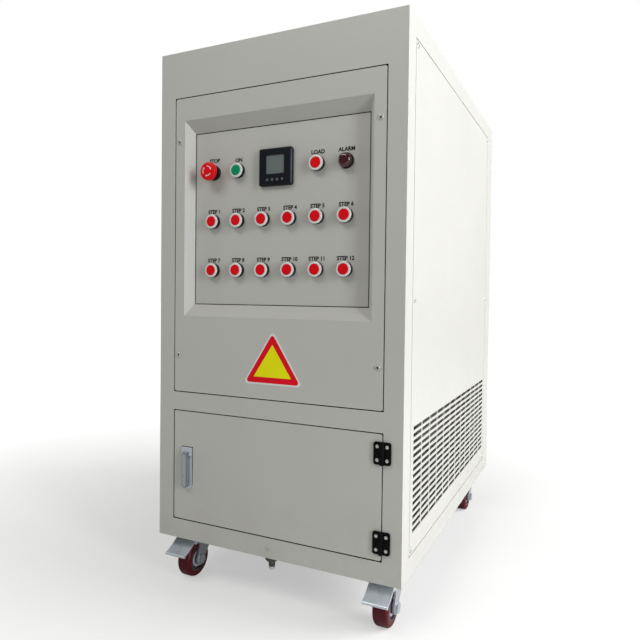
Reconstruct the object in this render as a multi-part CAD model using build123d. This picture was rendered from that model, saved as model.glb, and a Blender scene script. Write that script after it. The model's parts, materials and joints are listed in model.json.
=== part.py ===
from build123d import *

import os

# Resistive generator load bank: a sheet-steel cabinet on four castors, with a control panel in a
# bevelled recess, a terminal compartment behind the lower door, fans and finned resistors inside.
#
# Every piece is modelled in the cabinet's own frame: x from the middle to the right, y from the
# front face towards the back, z up from the underside of the base, in millimetres. CABINET then
# carries each piece to the part's frame, whose origin is on the floor at the middle of the whole.

# Cabinet
BODY_W, BODY_D, BODY_H = 530.0, 850.0, 1000.0
SHEET = 1.5            # thickness of covers, doors and panels
TUBE_WALL = 2.0        # wall of the frame's tubes
POST_W = 36.0          # width of the corner posts, seen from the front
FRONT_POST_D = 43.0    # depth of the front posts, seen from the side
REAR_POST_D = 71.0     # depth of the rear posts, seen from the side
RAIL_D = 30.0          # depth of the front and rear rails
TOP_RAIL, MID_RAIL, BOTTOM_RAIL = 93.0, 37.0, 39.0
REAR_TOP_RAIL = 50.0
SIDE_RAIL, SIDE_RAIL_T = 37.0, 25.0
LOWER_DOOR_OPENING = 228.0
DOOR_GAP = 2.0         # gap all round an inset door or panel
DOOR_CORNER = 3.5      # corner radius of doors and panels
FLANGE = 18.0          # depth of a door's return flange
PANEL_FLANGE = 12.0    # depth of a side panel's return flange

# Base
BASE_BEAM_W = 44.0
FLOOR_Z = 37.5         # top of the floor pan
CROSS_W = 40.0
GLAND_R = 25.0         # cable gland holes in the floor pan
GLAND_PITCH, GLAND_Y, GLAND_COUNT = 110.0, 105.0, 3
GLAND_PLATE_T = 3.0
EARTH_STUD_R, EARTH_STUD_L = 6.0, 26.0
EARTH_NUT_T, EARTH_NUT_R = 9.0, 11.0

# Control recess and plate
RECESS_SIDE, RECESS_TOP, RECESS_H = 24.5, 47.5, 398.0
RECESS_D, BEVEL_SIDE, BEVEL_END = 20.0, 13.0, 24.0
FRONT_SCREW_UP, FRONT_SCREW_DOWN = 77.0, 43.0   # from the panel's lower edge, from the recess's top
PLATE_LAP, PLATE_T = 12.0, 2.0

# Push buttons
COLUMN_PITCH, ROW_PITCH, COLUMNS, ROWS = 58.0, 98.5, 6, 3
FIRST_ROW = 69.5       # bottom row above the recess floor's lower edge
COLLAR_R, COLLAR_H = 14.2, 9.0
RING_H = 3.0
SHANK_R, SHANK_L, SHANK_GAP = 11.0, 28.0, 0.2
BUTTON_BORE_R = 10.6
SLIDE_GAP = 0.3        # clearance of pieces that slide or turn in others
CAP_PROUD, CAP_L, CAP_ROUND, BUTTON_TRAVEL = 0.8, 14.0, 1.2, 3.5
PUSH_ROD_R = 4.0
NUT_R, NUT_T = 14.5, 4.0
BLOCK_W, BLOCK_H, BLOCK_L = 26.0, 42.0, 34.0

# Emergency stop, alarm lamp and meter
ESTOP_HEAD_R, ESTOP_HEAD_H, ESTOP_PROUD = 18.0, 13.0, 27.0
ESTOP_COLLAR_R, ESTOP_COLLAR_H, ESTOP_COLLAR_ROUND = 15.0, 7.0, 2.0
ESTOP_TRAVEL = 5.0
ESTOP_PIN_R, ESTOP_PIN_L, PIN_FIT = 5.0, 8.0, 0.05
LAMP_R, LAMP_H, LAMP_FLANGE_H = 13.0, 17.0, 5.0
METER, METER_H, METER_CORNER, METER_BEVEL = 72.0, 9.0, 4.0, 2.0
METER_BODY, METER_BODY_L = 66.0, 55.0
SCREEN_W, SCREEN_H, SCREEN_UP, SCREEN_SINK = 43.0, 39.0, 4.5, 1.6
METER_KEYS, KEY_R, KEY_PITCH, KEY_DOWN = 4, 2.6, 11.0, 24.5
KEY_PROUD, KEY_WELL, KEY_TRAVEL = 1.0, 4.0, 0.8

# Hinges of both doors
HINGE_H, HINGE_LEAF_W, HINGE_LEAF_T, HINGE_CORNER = 40.0, 14.0, 3.5, 4.0
BARREL_R, HINGE_PIN_R = 4.0, 2.0
HINGE_FROM_END = 35.0  # from a door opening's end to its hinge's middle

# Lock of the lower door and latch of the rear door
LOCK_W, LOCK_H, LOCK_T = 25.0, 86.0, 3.0
LOCK_FROM_EDGE, LOCK_TOP_DOWN = 35.5, 75.0
SPINDLE_DOWN = 15.5    # from the lock plate's top to its spindle
LOCK_NUT_R, LOCK_NUT_T = 10.0, 6.0
LEVER_W, LEVER_L, LEVER_T = 14.0, 70.0, 8.0
LEVER_PIN_R, LEVER_EYE_R = 1.5, 3.0
SPINDLE_R, SPINDLE_CHEEK_T, SPINDLE_BACK_T = 5.0, 2.0, 1.0
CAM_T = 3.0
CAM_CLEAR = 1.5        # from a locked cam's tip to the post
KEEPER_W, KEEPER_T, KEEPER_H = 11.0, 2.0, 30.0
KEEPER_GAP = 0.5       # from a door's flange to the keeper behind it
LATCH_HEAD_R, LATCH_HEAD_T = 10.0, 5.0
LATCH_SLOT_L, LATCH_SLOT_W, LATCH_SLOT_D = 14.0, 2.0, 2.0

# Side grilles and exhaust grille
SLOT_L, SLOT_W, SLOT_CORNER, SLOT_PITCH, SLOT_ROW = 54.0, 7.2, 1.5, 58.5, 12.5
GRILLE_ROWS, GRILLE_COLUMNS, GRILLE_UP = 16, 12, 36.0
EXHAUST_ROWS, EXHAUST_COLUMNS, EXHAUST_DOWN = 34, 7, 60.0

# Castors
WHEEL_R, WHEEL_W, HUB_R, AXLE_R, TRAIL = 37.5, 30.0, 26.0, 6.0, 30.0
CASTOR_H = 101.0
CASTOR_IN, CASTOR_BACK = 46.0, 86.0
CASTOR_PLATE_W, CASTOR_PLATE_L, CASTOR_PLATE_T = 70.0, 90.0, 4.0
CASTOR_PLATE_CORNER = 8.0
CASTOR_BOLT_R, CASTOR_BOLT_H = 6.5, 5.0
CASTOR_BOLT_IN_X, CASTOR_BOLT_IN_Y = 8.0, 10.0
RACE_R, RACE_H, CROWN_T, FORK_T = 26.0, 7.0, 5.0, 4.0
FORK_BOSS_R = 13.0
FORK_GAP = 1.5         # between a wheel's hub and each cheek of the fork
AXLE_HEAD_R, AXLE_HEAD_T = 9.6, 5.0
KINGPIN_R = 6.0
TREAD_ROUND = 7.0
HUB_RIM, HUB_DISH, HUB_BOSS_R = 4.0, 5.0, 12.0

# Brake pedals: distances ahead of and above the pedal's pin
PEDAL_T, PEDAL_PIN_R, PEDAL_SIDE_GAP = 3.0, 4.0, 0.5
PEDAL_PIN_BACK, PEDAL_PIN_UP = 4.0, 7.0    # from above the axle, from the tread
PEDAL_EYE_R, PEDAL_ARM_L, PEDAL_ARM_H = 8.0, 27.0, 10.0
PAD_T, LIP_R = 4.0, 3.2
PAD_ROOT, PAD_ROOT_UP = 9.0, 7.0
PAD_BEND, PAD_BEND_UP = 32.0, 3.0
PAD_KNEE, PAD_KNEE_UP = 51.0, -9.0
PAD_END, PAD_END_UP = 65.0, -15.0

# Inside
BULKHEAD_Y, FAN_DECK_Z = 215.0, 305.0
FAN_R, FAN_GAP, SHROUD_T, SHROUD_H = 105.0, 4.0, 3.0, 55.0
STRUT_W, STRUT_T = 12.0, 4.0
FAN_PITCH = 290.0
MOTOR_R, MOTOR_H, STRUTS = 38.0, 40.0, 4
FAN_HUB_R, FAN_HUB_H, FAN_HUB_DOWN = 34.0, 24.0, 15.0
BLADES, BLADE_W, BLADE_T, BLADE_TILT, BLADE_ROOT = 7, 42.0, 2.5, 28.0, 6.0
FAN_SHAFT_R, FAN_FIT = 6.0, 0.05
RESISTOR_R, RESISTOR_PITCH, RESISTOR_ROWS, RESISTOR_COLUMNS = 13.0, 44.0, 9, 10
RESISTOR_UP, RACK_T, RACK_IN, RACK_EDGE = 120.0, 3.0, 40.0, 4.0
LEG_W, FOOT_GAP = 30.0, 2.0
GEAR_PLATE_T, GEAR_PLATE_IN, GEAR_PLATE_UP, GEAR_PLATE_DOWN = 2.0, 12.0, 10.0, 20.0
DIN_RAIL_T, DIN_RAIL_H, DIN_RAIL_IN = 8.0, 35.0, 25.0
CONTACTOR_W, CONTACTOR_H, CONTACTOR_L = 45.0, 76.0, 82.0
CONTACTOR_PITCH, CONTACTOR_COUNT = 64.0, 6
CONTACTOR_UP, CONTACTOR_ROW_PITCH = 80.0, 150.0
BREAKER_W, BREAKER_H, BREAKER_L, BREAKER_COUNT = 18.0, 84.0, 70.0, 12
BREAKER_UP, BREAKER_GAP = 380.0, 1.0
TOGGLE_W, TOGGLE_H, TOGGLE_L = 8.0, 12.0, 8.0
TERMINAL_R, TERMINAL_L, TERMINAL_PITCH, TERMINAL_COUNT = 6.0, 38.0, 70.0, 4
BOARD_W, BOARD_H, BOARD_T, BOARD_UP = 340.0, 110.0, 12.0, 60.0
BAR_W, BAR_T, BAR_IN = 30.0, 5.0, 10.0

# Screws
SCREW_R, SCREW_H, SCREW_SHANK_R, SCREW_SHANK_L = 5.0, 2.2, 2.5, 8.0
SCREW_HOLE_FIT = 0.3
SOCKET_R, SOCKET_DEPTH = 2.2, 1.6
SIDE_SCREW_MARGIN = 3.0    # from a side panel's flange to its screws' heads

# Worked out from the sizes above
HALF_W = BODY_W / 2
OPENING_X = HALF_W - POST_W
LOWER_Z0 = BOTTOM_RAIL
LOWER_Z1 = LOWER_Z0 + LOWER_DOOR_OPENING
UPPER_Z0 = LOWER_Z1 + MID_RAIL
UPPER_Z1 = BODY_H - TOP_RAIL
RECESS_X = OPENING_X - RECESS_SIDE
RECESS_Z1 = UPPER_Z1 - RECESS_TOP
RECESS_Z0 = RECESS_Z1 - RECESS_H
PLATE_X = RECESS_X - BEVEL_SIDE
PLATE_Z0, PLATE_Z1 = RECESS_Z0 + BEVEL_END, RECESS_Z1 - BEVEL_END
PLATE_Y = RECESS_D
ROW_Z = [PLATE_Z0 + FIRST_ROW + ROW_PITCH * row for row in range(ROWS)]
COLUMN_X = [COLUMN_PITCH * (column - (COLUMNS - 1) / 2) for column in range(COLUMNS)]
RING_Y = PLATE_Y - COLLAR_H - RING_H
REAR_DOOR_Z0, REAR_DOOR_Z1 = BOTTOM_RAIL, BODY_H - REAR_TOP_RAIL
PANEL_Y0, PANEL_Y1 = FRONT_POST_D, BODY_D - REAR_POST_D
PANEL_Z0, PANEL_Z1 = SIDE_RAIL, BODY_H - SIDE_RAIL
PIVOT_X = OPENING_X - DOOR_GAP / 2
PIVOT_OUT = BARREL_R + SLIDE_GAP
SPINDLE_X = -OPENING_X + LOCK_FROM_EDGE
LOCK_Z1 = LOWER_Z1 - LOCK_TOP_DOWN
SPINDLE_Z = LOCK_Z1 - SPINDLE_DOWN
LEVER_PIN_Z = SPINDLE_Z + LEVER_EYE_R
LEVER_Y = (-LOCK_T - SLIDE_GAP - LEVER_T, -LOCK_T - SLIDE_GAP)
REAR_LATCH_Z = (REAR_DOOR_Z0 + REAR_DOOR_Z1) / 2
KEEPER_DEPTH = FLANGE + KEEPER_GAP
CAM_DEPTH = KEEPER_DEPTH + KEEPER_T + SLIDE_GAP
CAM_L = LOCK_FROM_EDGE - CAM_CLEAR
CASTOR_X = HALF_W - CASTOR_IN
CASTOR_Y = (CASTOR_BACK, BODY_D - CASTOR_BACK)
WHEEL_Z = WHEEL_R - CASTOR_H
FORK_OUT = WHEEL_W / 2 + FORK_GAP + FORK_T
PEDAL_OUT = FORK_OUT + PEDAL_SIDE_GAP + PEDAL_T
FRONT_REACH = LOCK_T + SLIDE_GAP + LEVER_T
REAR_REACH = PIVOT_OUT + BARREL_R
FRONT_Y = -(BODY_D + REAR_REACH - FRONT_REACH) / 2
CABINET = Pos(0, FRONT_Y, CASTOR_H)
INSIDE_Y = (BULKHEAD_Y + BODY_D - RAIL_D) / 2
FAN_Y = (INSIDE_Y - FAN_PITCH / 2, INSIDE_Y + FAN_PITCH / 2)
FAN_Z = FAN_DECK_Z + SHROUD_H / 2
BUTTONS = {
    "power_button": (COLUMN_X[1], ROW_Z[2]),
    "load_button": (COLUMN_X[4], ROW_Z[2]),
}
for number in range(2 * COLUMNS):
    step_row = ROW_Z[1 - number // COLUMNS]
    BUTTONS[f"step_button_{number + 1:02d}"] = (COLUMN_X[number % COLUMNS], step_row)
ESTOP_AT = (COLUMN_X[0], ROW_Z[2])
LAMP_AT = (COLUMN_X[5], ROW_Z[2])
METER_AT = ((COLUMN_X[2] + COLUMN_X[3]) / 2, ROW_Z[2])


def block(x, y, z):
    """A box between two limits along each axis."""
    corner = Pos(x[0], y[0], z[0])
    return corner * Box(x[1] - x[0], y[1] - y[0], z[1] - z[0], align=(Align.MIN,) * 3)


def tube(x, y, z, along):
    """A hollow rectangular tube, open at both ends along one axis."""
    inner = [(low + TUBE_WALL, high - TUBE_WALL) for low, high in (x, y, z)]
    inner["xyz".index(along)] = (x, y, z)["xyz".index(along)]
    return block(x, y, z) - block(*inner)


def rod_x(radius, x, y, z):
    return Pos((x[0] + x[1]) / 2, y, z) * Rot(0, 90, 0) * Cylinder(radius, x[1] - x[0])


def rod_y(radius, x, y, z):
    return Pos(x, (y[0] + y[1]) / 2, z) * Rot(90, 0, 0) * Cylinder(radius, y[1] - y[0])


def rod_z(radius, x, y, z):
    return Pos(x, y, (z[0] + z[1]) / 2) * Cylinder(radius, z[1] - z[0])


def mirrored(piece):
    return piece.mirror(Plane.YZ)


def save(name, *pieces):
    """Writes the pieces' solids as one node."""
    solids = [solid for piece in pieces for solid in (CABINET * piece).solids()]
    export_step(Compound(children=solids), os.path.join("parts", name + ".step"))


# ---------------------------------------------------------------- cabinet
def cabinet_frame():
    """Four posts and the rails between them, butted end to side."""
    top = BODY_H - SHEET
    post_x = (OPENING_X, HALF_W)
    rail_x = (-OPENING_X, OPENING_X)
    side_x = (HALF_W - SIDE_RAIL_T, HALF_W)
    side_y = (FRONT_POST_D, BODY_D - REAR_POST_D)
    rear_y = (BODY_D - RAIL_D, BODY_D)
    right = [
        tube(post_x, (0, FRONT_POST_D), (0, top), "z"),
        tube(post_x, (BODY_D - REAR_POST_D, BODY_D), (0, top), "z"),
        tube(side_x, side_y, (0, SIDE_RAIL), "y"),
        tube(side_x, side_y, (PANEL_Z1, top), "y"),
    ]
    across = [
        tube(rail_x, (0, RAIL_D), (0, LOWER_Z0), "x"),
        tube(rail_x, (0, RAIL_D), (LOWER_Z1, UPPER_Z0), "x"),
        tube(rail_x, (0, RAIL_D), (UPPER_Z1, top), "x"),
        tube(rail_x, rear_y, (0, REAR_DOOR_Z0), "x"),
        tube(rail_x, rear_y, (REAR_DOOR_Z1, top), "x"),
    ]
    left = [mirrored(piece) for piece in right]
    keepers = [keeper(KEEPER_DEPTH, SPINDLE_Z), keeper(BODY_D - KEEPER_DEPTH - KEEPER_T, REAR_LATCH_Z)]
    return right + left + across + keepers + [top_cover()]


def keeper(y, z):
    """The tab on a left post's inner wall that a locked cam stands behind."""
    half = KEEPER_H / 2
    return block((-OPENING_X, -OPENING_X + KEEPER_W), (y, y + KEEPER_T), (z - half, z + half))


def base_frame():
    """Two beams over the castors, cross members, the floor pan and its cable gland plate."""
    inner = OPENING_X - BASE_BEAM_W
    beam_top = FLOOR_Z - SHEET
    beam = tube((inner, OPENING_X), (RAIL_D, BODY_D - RAIL_D), (0, beam_top), "y")
    crosses = [
        tube((-inner, inner), (y, y + CROSS_W), (0, beam_top), "x")
        for y in (BULKHEAD_Y - CROSS_W / 2, BODY_D - 2 * CASTOR_BACK)
    ]
    pan_y = (BULKHEAD_Y, BODY_D - RAIL_D)
    pan = block((-OPENING_X, OPENING_X), pan_y, (beam_top, FLOOR_Z))
    gland_y = (RAIL_D, BULKHEAD_Y)
    gland_z = (FLOOR_Z - GLAND_PLATE_T, FLOOR_Z)
    plate = block((-inner, inner), gland_y, gland_z) - crosses[0]
    for x in gland_x():
        plate -= rod_z(GLAND_R, x, GLAND_Y, gland_z)
    return [beam, mirrored(beam), *crosses, pan, plate]


def gland_x():
    return spread(GLAND_COUNT, GLAND_PITCH)


def top_cover():
    return block((-HALF_W, HALF_W), (0, BODY_D), (BODY_H - SHEET, BODY_H))


def slotted_sheet(length, height, slots):
    """A flat sheet in the XY plane with round-ended slots cut through it."""
    outline = RectangleRounded(length, height, DOOR_CORNER).face().outer_wire()
    slot = RectangleRounded(SLOT_L, SLOT_W, SLOT_CORNER).face().outer_wire()
    holes = [slot.moved(Location((x, y, 0))) for x, y in slots]
    return extrude(Face(outline, holes), SHEET)


def slot_grid(columns, rows, middle):
    """Centres of a grid of slots about its middle."""
    return [
        (middle[0] + SLOT_PITCH * (column - (columns - 1) / 2),
         middle[1] + SLOT_ROW * (row - (rows - 1) / 2))
        for row in range(rows) for column in range(columns)
    ]


def flange_ring(x, y, z, thickness_axis):
    """A ring of sheet with rounded corners, open along the axis named."""
    along = Axis.X if thickness_axis == "x" else Axis.Y
    inner = [(low + SHEET, high - SHEET) for low, high in (x, y, z)]
    inner["xyz".index(thickness_axis)] = (x, y, z)["xyz".index(thickness_axis)]
    outside, inside = block(x, y, z), block(*inner)
    outside = fillet(outside.edges().filter_by(along), DOOR_CORNER)
    return outside - fillet(inside.edges().filter_by(along), DOOR_CORNER - SHEET)


def front_sheet(x, z):
    """A door's face, with rounded corners, on the front plane."""
    sheet = block(x, (0, SHEET), z)
    return fillet(sheet.edges().filter_by(Axis.Y), DOOR_CORNER)


def side_panel():
    """The right-hand panel, inset between posts and rails, with the intake grille low down."""
    y = (PANEL_Y0 + DOOR_GAP, PANEL_Y1 - DOOR_GAP)
    z = (PANEL_Z0 + DOOR_GAP, PANEL_Z1 - DOOR_GAP)
    length, height = y[1] - y[0], z[1] - z[0]
    grille_h = SLOT_ROW * GRILLE_ROWS
    middle = (0, GRILLE_UP + grille_h / 2 - height / 2 - DOOR_GAP)
    sheet = slotted_sheet(length, height, slot_grid(GRILLE_COLUMNS, GRILLE_ROWS, middle))
    upright = Pos(HALF_W - SHEET, (y[0] + y[1]) / 2, (z[0] + z[1]) / 2) * Rot(0, 0, 90) * Rot(90, 0, 0)
    flange = flange_ring((HALF_W - PANEL_FLANGE, HALF_W - SHEET), y, z, "x")
    panel = upright * sheet + flange
    for screw_y, screw_z in side_screws():
        panel -= rod_x(SCREW_SHANK_R + SCREW_HOLE_FIT, (HALF_W - PANEL_FLANGE, HALF_W), screw_y, screw_z)
    return panel


def side_screws():
    """Places of a side panel's screws, near its corners and half-way up."""
    inset = SCREW_R + SHEET + DOOR_GAP + SIDE_SCREW_MARGIN
    middle = (PANEL_Z0 + PANEL_Z1) / 2
    heights = (PANEL_Z0 + inset, middle, PANEL_Z1 - inset)
    return [(y, z) for y in (PANEL_Y0 + inset, PANEL_Y1 - inset) for z in heights]


def front_screws():
    """Places of the upper panel's four screws, half-way between recess and edge."""
    x = (RECESS_X + OPENING_X) / 2
    low, high = UPPER_Z0 + FRONT_SCREW_UP, RECESS_Z1 - FRONT_SCREW_DOWN
    return [(side * x, z) for side in (-1, 1) for z in (low, high)]


def upper_front_panel():
    """The screwed front panel, with the bevelled recess that frames the control plate."""
    x = (-OPENING_X + DOOR_GAP, OPENING_X - DOOR_GAP)
    z = (UPPER_Z0 + DOOR_GAP, UPPER_Z1 - DOOR_GAP)
    panel = front_sheet(x, z) + flange_ring(x, (SHEET, FLANGE), z, "y")
    mouth = (RECESS_X, RECESS_Z0, RECESS_Z1)
    throat = (PLATE_X, PLATE_Z0, PLATE_Z1)
    panel += funnel(mouth, throat, SHEET)
    panel -= funnel(mouth, throat, 0)
    for screw_x, screw_z in front_screws():
        panel -= rod_y(SCREW_SHANK_R + SCREW_HOLE_FIT, screw_x, (0, SHEET), screw_z)
    return panel


def funnel(mouth, throat, grow):
    """The tapered solid from the recess's mouth to its throat, grown on all sides."""
    sections = []
    for (half, low, high), y in ((mouth, 0), (throat, RECESS_D)):
        face = Rectangle(2 * (half + grow), high - low + 2 * grow)
        sections.append(Pos(0, y, (low + high) / 2) * Rot(90, 0, 0) * face)
    return loft(sections)


def control_plate():
    """The plate behind the recess, with a hole for each device."""
    x = PLATE_X + PLATE_LAP
    y = (PLATE_Y, PLATE_Y + PLATE_T)
    plate = block((-x, x), y, (PLATE_Z0 - PLATE_LAP, PLATE_Z1 + PLATE_LAP))
    for at in [*BUTTONS.values(), ESTOP_AT, LAMP_AT]:
        plate -= rod_y(SHANK_R + SHANK_GAP, at[0], y, at[1])
    half = METER_BODY / 2
    hole_x = (METER_AT[0] - half, METER_AT[0] + half)
    plate -= block(hole_x, y, (METER_AT[1] - half, METER_AT[1] + half))
    return plate


def screw(place, direction):
    """A button-head socket screw along Z, head up, carried to its place."""
    head = Pos(0, 0, SCREW_H / 2) * Cylinder(SCREW_R, SCREW_H)
    head = fillet(head.edges().group_by(Axis.Z)[-1], SCREW_H * 0.6)
    head -= Pos(0, 0, SCREW_H - SOCKET_DEPTH) * extrude(RegularPolygon(SOCKET_R, 6), SOCKET_DEPTH)
    shank = Pos(0, 0, -SCREW_SHANK_L / 2) * Cylinder(SCREW_SHANK_R, SCREW_SHANK_L)
    return Pos(*place) * direction * (head + shank)


def panel_screws():
    """Screws of the side panels and of the upper front panel."""
    pieces = [screw((x, 0, z), Rot(90, 0, 0)) for x, z in front_screws()]
    for y, z in side_screws():
        right = screw((HALF_W, y, z), Rot(0, 90, 0))
        pieces += [right, mirrored(right)]
    return pieces


def earth_stud():
    """The earthing stud and its nut under the middle of the front rail."""
    y = RAIL_D / 2
    stud = rod_z(EARTH_STUD_R, 0, y, (-EARTH_STUD_L, 0))
    stud = chamfer(stud.edges().group_by(Axis.Z)[0], EARTH_STUD_R / 4)
    nut = Pos(0, y, -EARTH_NUT_T) * extrude(RegularPolygon(EARTH_NUT_R, 6), EARTH_NUT_T)
    return stud + nut


# ---------------------------------------------------------------- controls
def collar(x, z):
    """A button's black collar with its shank through the plate."""
    front = rod_y(COLLAR_R, x, (PLATE_Y - COLLAR_H, PLATE_Y), z)
    shank = rod_y(SHANK_R, x, (PLATE_Y, PLATE_Y + SHANK_L), z)
    return front + shank - rod_y(BUTTON_BORE_R, x, (PLATE_Y - COLLAR_H, PLATE_Y + SHANK_L), z)


def ring(x, z):
    """A button's bright ring, its outer edge rounded."""
    y = (RING_Y, RING_Y + RING_H)
    outer = rod_y(COLLAR_R, x, y, z)
    outer = fillet(outer.edges().group_by(Axis.Y)[0], RING_H * 0.5)
    return outer - rod_y(BUTTON_BORE_R, x, y, z)


def cap(x, z):
    """A button's cap and its push rod, free to slide in the collar."""
    radius = BUTTON_BORE_R - SLIDE_GAP
    front = RING_Y - CAP_PROUD
    body = rod_y(radius, x, (front, front + CAP_L), z)
    body = fillet(body.edges().group_by(Axis.Y)[0], CAP_ROUND)
    rod_end = PLATE_Y + SHANK_L - BUTTON_TRAVEL - SLIDE_GAP
    return body + rod_y(PUSH_ROD_R, x, (front + CAP_L, rod_end), z)


def device_rear(x, z):
    """The lock nut on a device's shank and the contact block behind it."""
    nut_y = (PLATE_Y + PLATE_T, PLATE_Y + PLATE_T + NUT_T)
    nut = Pos(x, nut_y[1], z) * Rot(90, 0, 0) * extrude(RegularPolygon(NUT_R, 6), NUT_T)
    nut -= rod_y(SHANK_R + SHANK_GAP, x, nut_y, z)
    y = (PLATE_Y + SHANK_L, PLATE_Y + SHANK_L + BLOCK_L)
    contacts = block((x - BLOCK_W / 2, x + BLOCK_W / 2), y, (z - BLOCK_H / 2, z + BLOCK_H / 2))
    return [nut, contacts]


def estop_collar():
    x, z = ESTOP_AT
    front = rod_y(ESTOP_COLLAR_R, x, (PLATE_Y - ESTOP_COLLAR_H, PLATE_Y), z)
    front = fillet(front.edges().group_by(Axis.Y)[0], ESTOP_COLLAR_ROUND)
    shank = rod_y(SHANK_R, x, (PLATE_Y, PLATE_Y + SHANK_L), z)
    bore = (PLATE_Y - ESTOP_COLLAR_H, PLATE_Y + SHANK_L)
    return front + shank - rod_y(BUTTON_BORE_R, x, bore, z)


def estop_stem():
    """The plunger, with the pin on which the mushroom head twists."""
    x, z = ESTOP_AT
    head_back = PLATE_Y - ESTOP_PROUD + ESTOP_HEAD_H
    front = head_back + SLIDE_GAP
    rod_end = PLATE_Y + SHANK_L - ESTOP_TRAVEL - SLIDE_GAP
    stem = rod_y(BUTTON_BORE_R - SLIDE_GAP, x, (front, rod_end), z)
    return stem + rod_y(ESTOP_PIN_R, x, (head_back - ESTOP_PIN_L, front), z)


def estop_head():
    """The mushroom head, domed in front and dished on its sides."""
    x, z = ESTOP_AT
    front = PLATE_Y - ESTOP_PROUD
    back = front + ESTOP_HEAD_H
    head = rod_y(ESTOP_HEAD_R, x, (front, back), z)
    head = fillet(head.edges().group_by(Axis.Y)[0], ESTOP_HEAD_H * 0.35)
    head = chamfer(head.edges().group_by(Axis.Y)[-1], ESTOP_HEAD_H * 0.28)
    pin_hole = (back - ESTOP_PIN_L - SLIDE_GAP, back)
    return head - rod_y(ESTOP_PIN_R + PIN_FIT, x, pin_hole, z)


def alarm_lamp():
    """The alarm lamp's flange, shank and domed lens, in one moulding."""
    x, z = LAMP_AT
    flange = rod_y(COLLAR_R, x, (PLATE_Y - LAMP_FLANGE_H, PLATE_Y), z)
    lens = rod_y(LAMP_R, x, (PLATE_Y - LAMP_H, PLATE_Y - LAMP_FLANGE_H), z)
    lens = fillet(lens.edges().group_by(Axis.Y)[0], LAMP_R * 0.55)
    return flange + lens + rod_y(SHANK_R, x, (PLATE_Y, PLATE_Y + SHANK_L), z)


def meter_case():
    """The panel meter: bezel with a sunk window and wells for its keys, body through the plate."""
    x, z = METER_AT
    front = PLATE_Y - METER_H
    half = METER / 2
    bezel = block((x - half, x + half), (front, PLATE_Y), (z - half, z + half))
    bezel = fillet(bezel.edges().filter_by(Axis.Y), METER_CORNER)
    bezel = chamfer(bezel.faces().sort_by(Axis.Y)[0].edges(), METER_BEVEL)
    window_x = (x - SCREEN_W / 2, x + SCREEN_W / 2)
    window_z = (z + SCREEN_UP - SCREEN_H / 2, z + SCREEN_UP + SCREEN_H / 2)
    bezel -= block(window_x, (front, front + 2 * SCREEN_SINK), window_z)
    half = METER_BODY / 2
    body = block((x - half, x + half), (PLATE_Y, PLATE_Y + METER_BODY_L), (z - half, z + half))
    for number in range(METER_KEYS):
        key_x, key_z = meter_key_at(number)
        bezel -= rod_y(KEY_R + SLIDE_GAP, key_x, (front, front + KEY_WELL), key_z)
    return bezel + body


def meter_key_at(number):
    return (METER_AT[0] + KEY_PITCH * (number - (METER_KEYS - 1) / 2), METER_AT[1] - KEY_DOWN)


def meter_key(number):
    """A meter key, proud of the bezel by its rim and free to sink in its well."""
    x, z = meter_key_at(number)
    front = PLATE_Y - METER_H
    return rod_y(KEY_R, x, (front - KEY_PROUD, front + KEY_WELL - KEY_TRAVEL - SLIDE_GAP), z)


def meter_screen():
    x, z = METER_AT
    front = PLATE_Y - METER_H + SCREEN_SINK
    high = (z + SCREEN_UP - SCREEN_H / 2, z + SCREEN_UP + SCREEN_H / 2)
    return block((x - SCREEN_W / 2, x + SCREEN_W / 2), (front, front + SCREEN_SINK), high)


# ---------------------------------------------------------------- doors, hinges and lock
def hinge_heights(low, high):
    return (low + HINGE_FROM_END, high - HINGE_FROM_END)


def door_leaf(z):
    """The moving leaf and middle knuckle of a hinge, on the front, pin axis at PIVOT_X."""
    third = HINGE_H / 3
    leaf = block((PIVOT_X - BARREL_R / 2 - HINGE_LEAF_W, PIVOT_X - DOOR_GAP), (-HINGE_LEAF_T, 0),
                 (z - HINGE_H / 2, z + HINGE_H / 2))
    leaf = fillet(leaf.edges().filter_by(Axis.Y).group_by(Axis.X)[0], HINGE_CORNER)
    for low in (z - HINGE_H / 2, z + third / 2):
        leaf -= rod_z(BARREL_R + SLIDE_GAP, PIVOT_X, -PIVOT_OUT, (low, low + third))
    middle = (z - third / 2 + SLIDE_GAP, z + third / 2 - SLIDE_GAP)
    knuckle = rod_z(BARREL_R, PIVOT_X, -PIVOT_OUT, middle)
    bore = (z - third / 2, z + third / 2)
    return leaf + knuckle - rod_z(HINGE_PIN_R + PIN_FIT, PIVOT_X, -PIVOT_OUT, bore)


def frame_leaf(z):
    """The fixed leaf, outer knuckles and pin of a hinge, on the front."""
    third = HINGE_H / 3
    leaf = block((PIVOT_X + DOOR_GAP, PIVOT_X + BARREL_R / 2 + HINGE_LEAF_W), (-HINGE_LEAF_T, 0),
                 (z - HINGE_H / 2, z + HINGE_H / 2))
    leaf = fillet(leaf.edges().filter_by(Axis.Y).group_by(Axis.X)[-1], HINGE_CORNER)
    leaf -= rod_z(BARREL_R + SLIDE_GAP, PIVOT_X, -PIVOT_OUT, (z - third / 2, z + third / 2))
    for low in (z - HINGE_H / 2, z + third / 2):
        leaf += rod_z(BARREL_R, PIVOT_X, -PIVOT_OUT, (low, low + third))
    return leaf + rod_z(HINGE_PIN_R, PIVOT_X, -PIVOT_OUT, (z - HINGE_H / 2, z + HINGE_H / 2))


def on_rear(piece):
    """Carries a piece from the front face to the same place on the rear face."""
    return Pos(0, BODY_D, 0) * piece.mirror(Plane.XZ)


def lower_door():
    x = (-OPENING_X + DOOR_GAP, OPENING_X - DOOR_GAP)
    z = (LOWER_Z0 + DOOR_GAP, LOWER_Z1 - DOOR_GAP)
    door = front_sheet(x, z) + flange_ring(x, (SHEET, FLANGE), z, "y")
    return door - rod_y(SPINDLE_R + SLIDE_GAP, SPINDLE_X, (0, SHEET), SPINDLE_Z)


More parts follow.
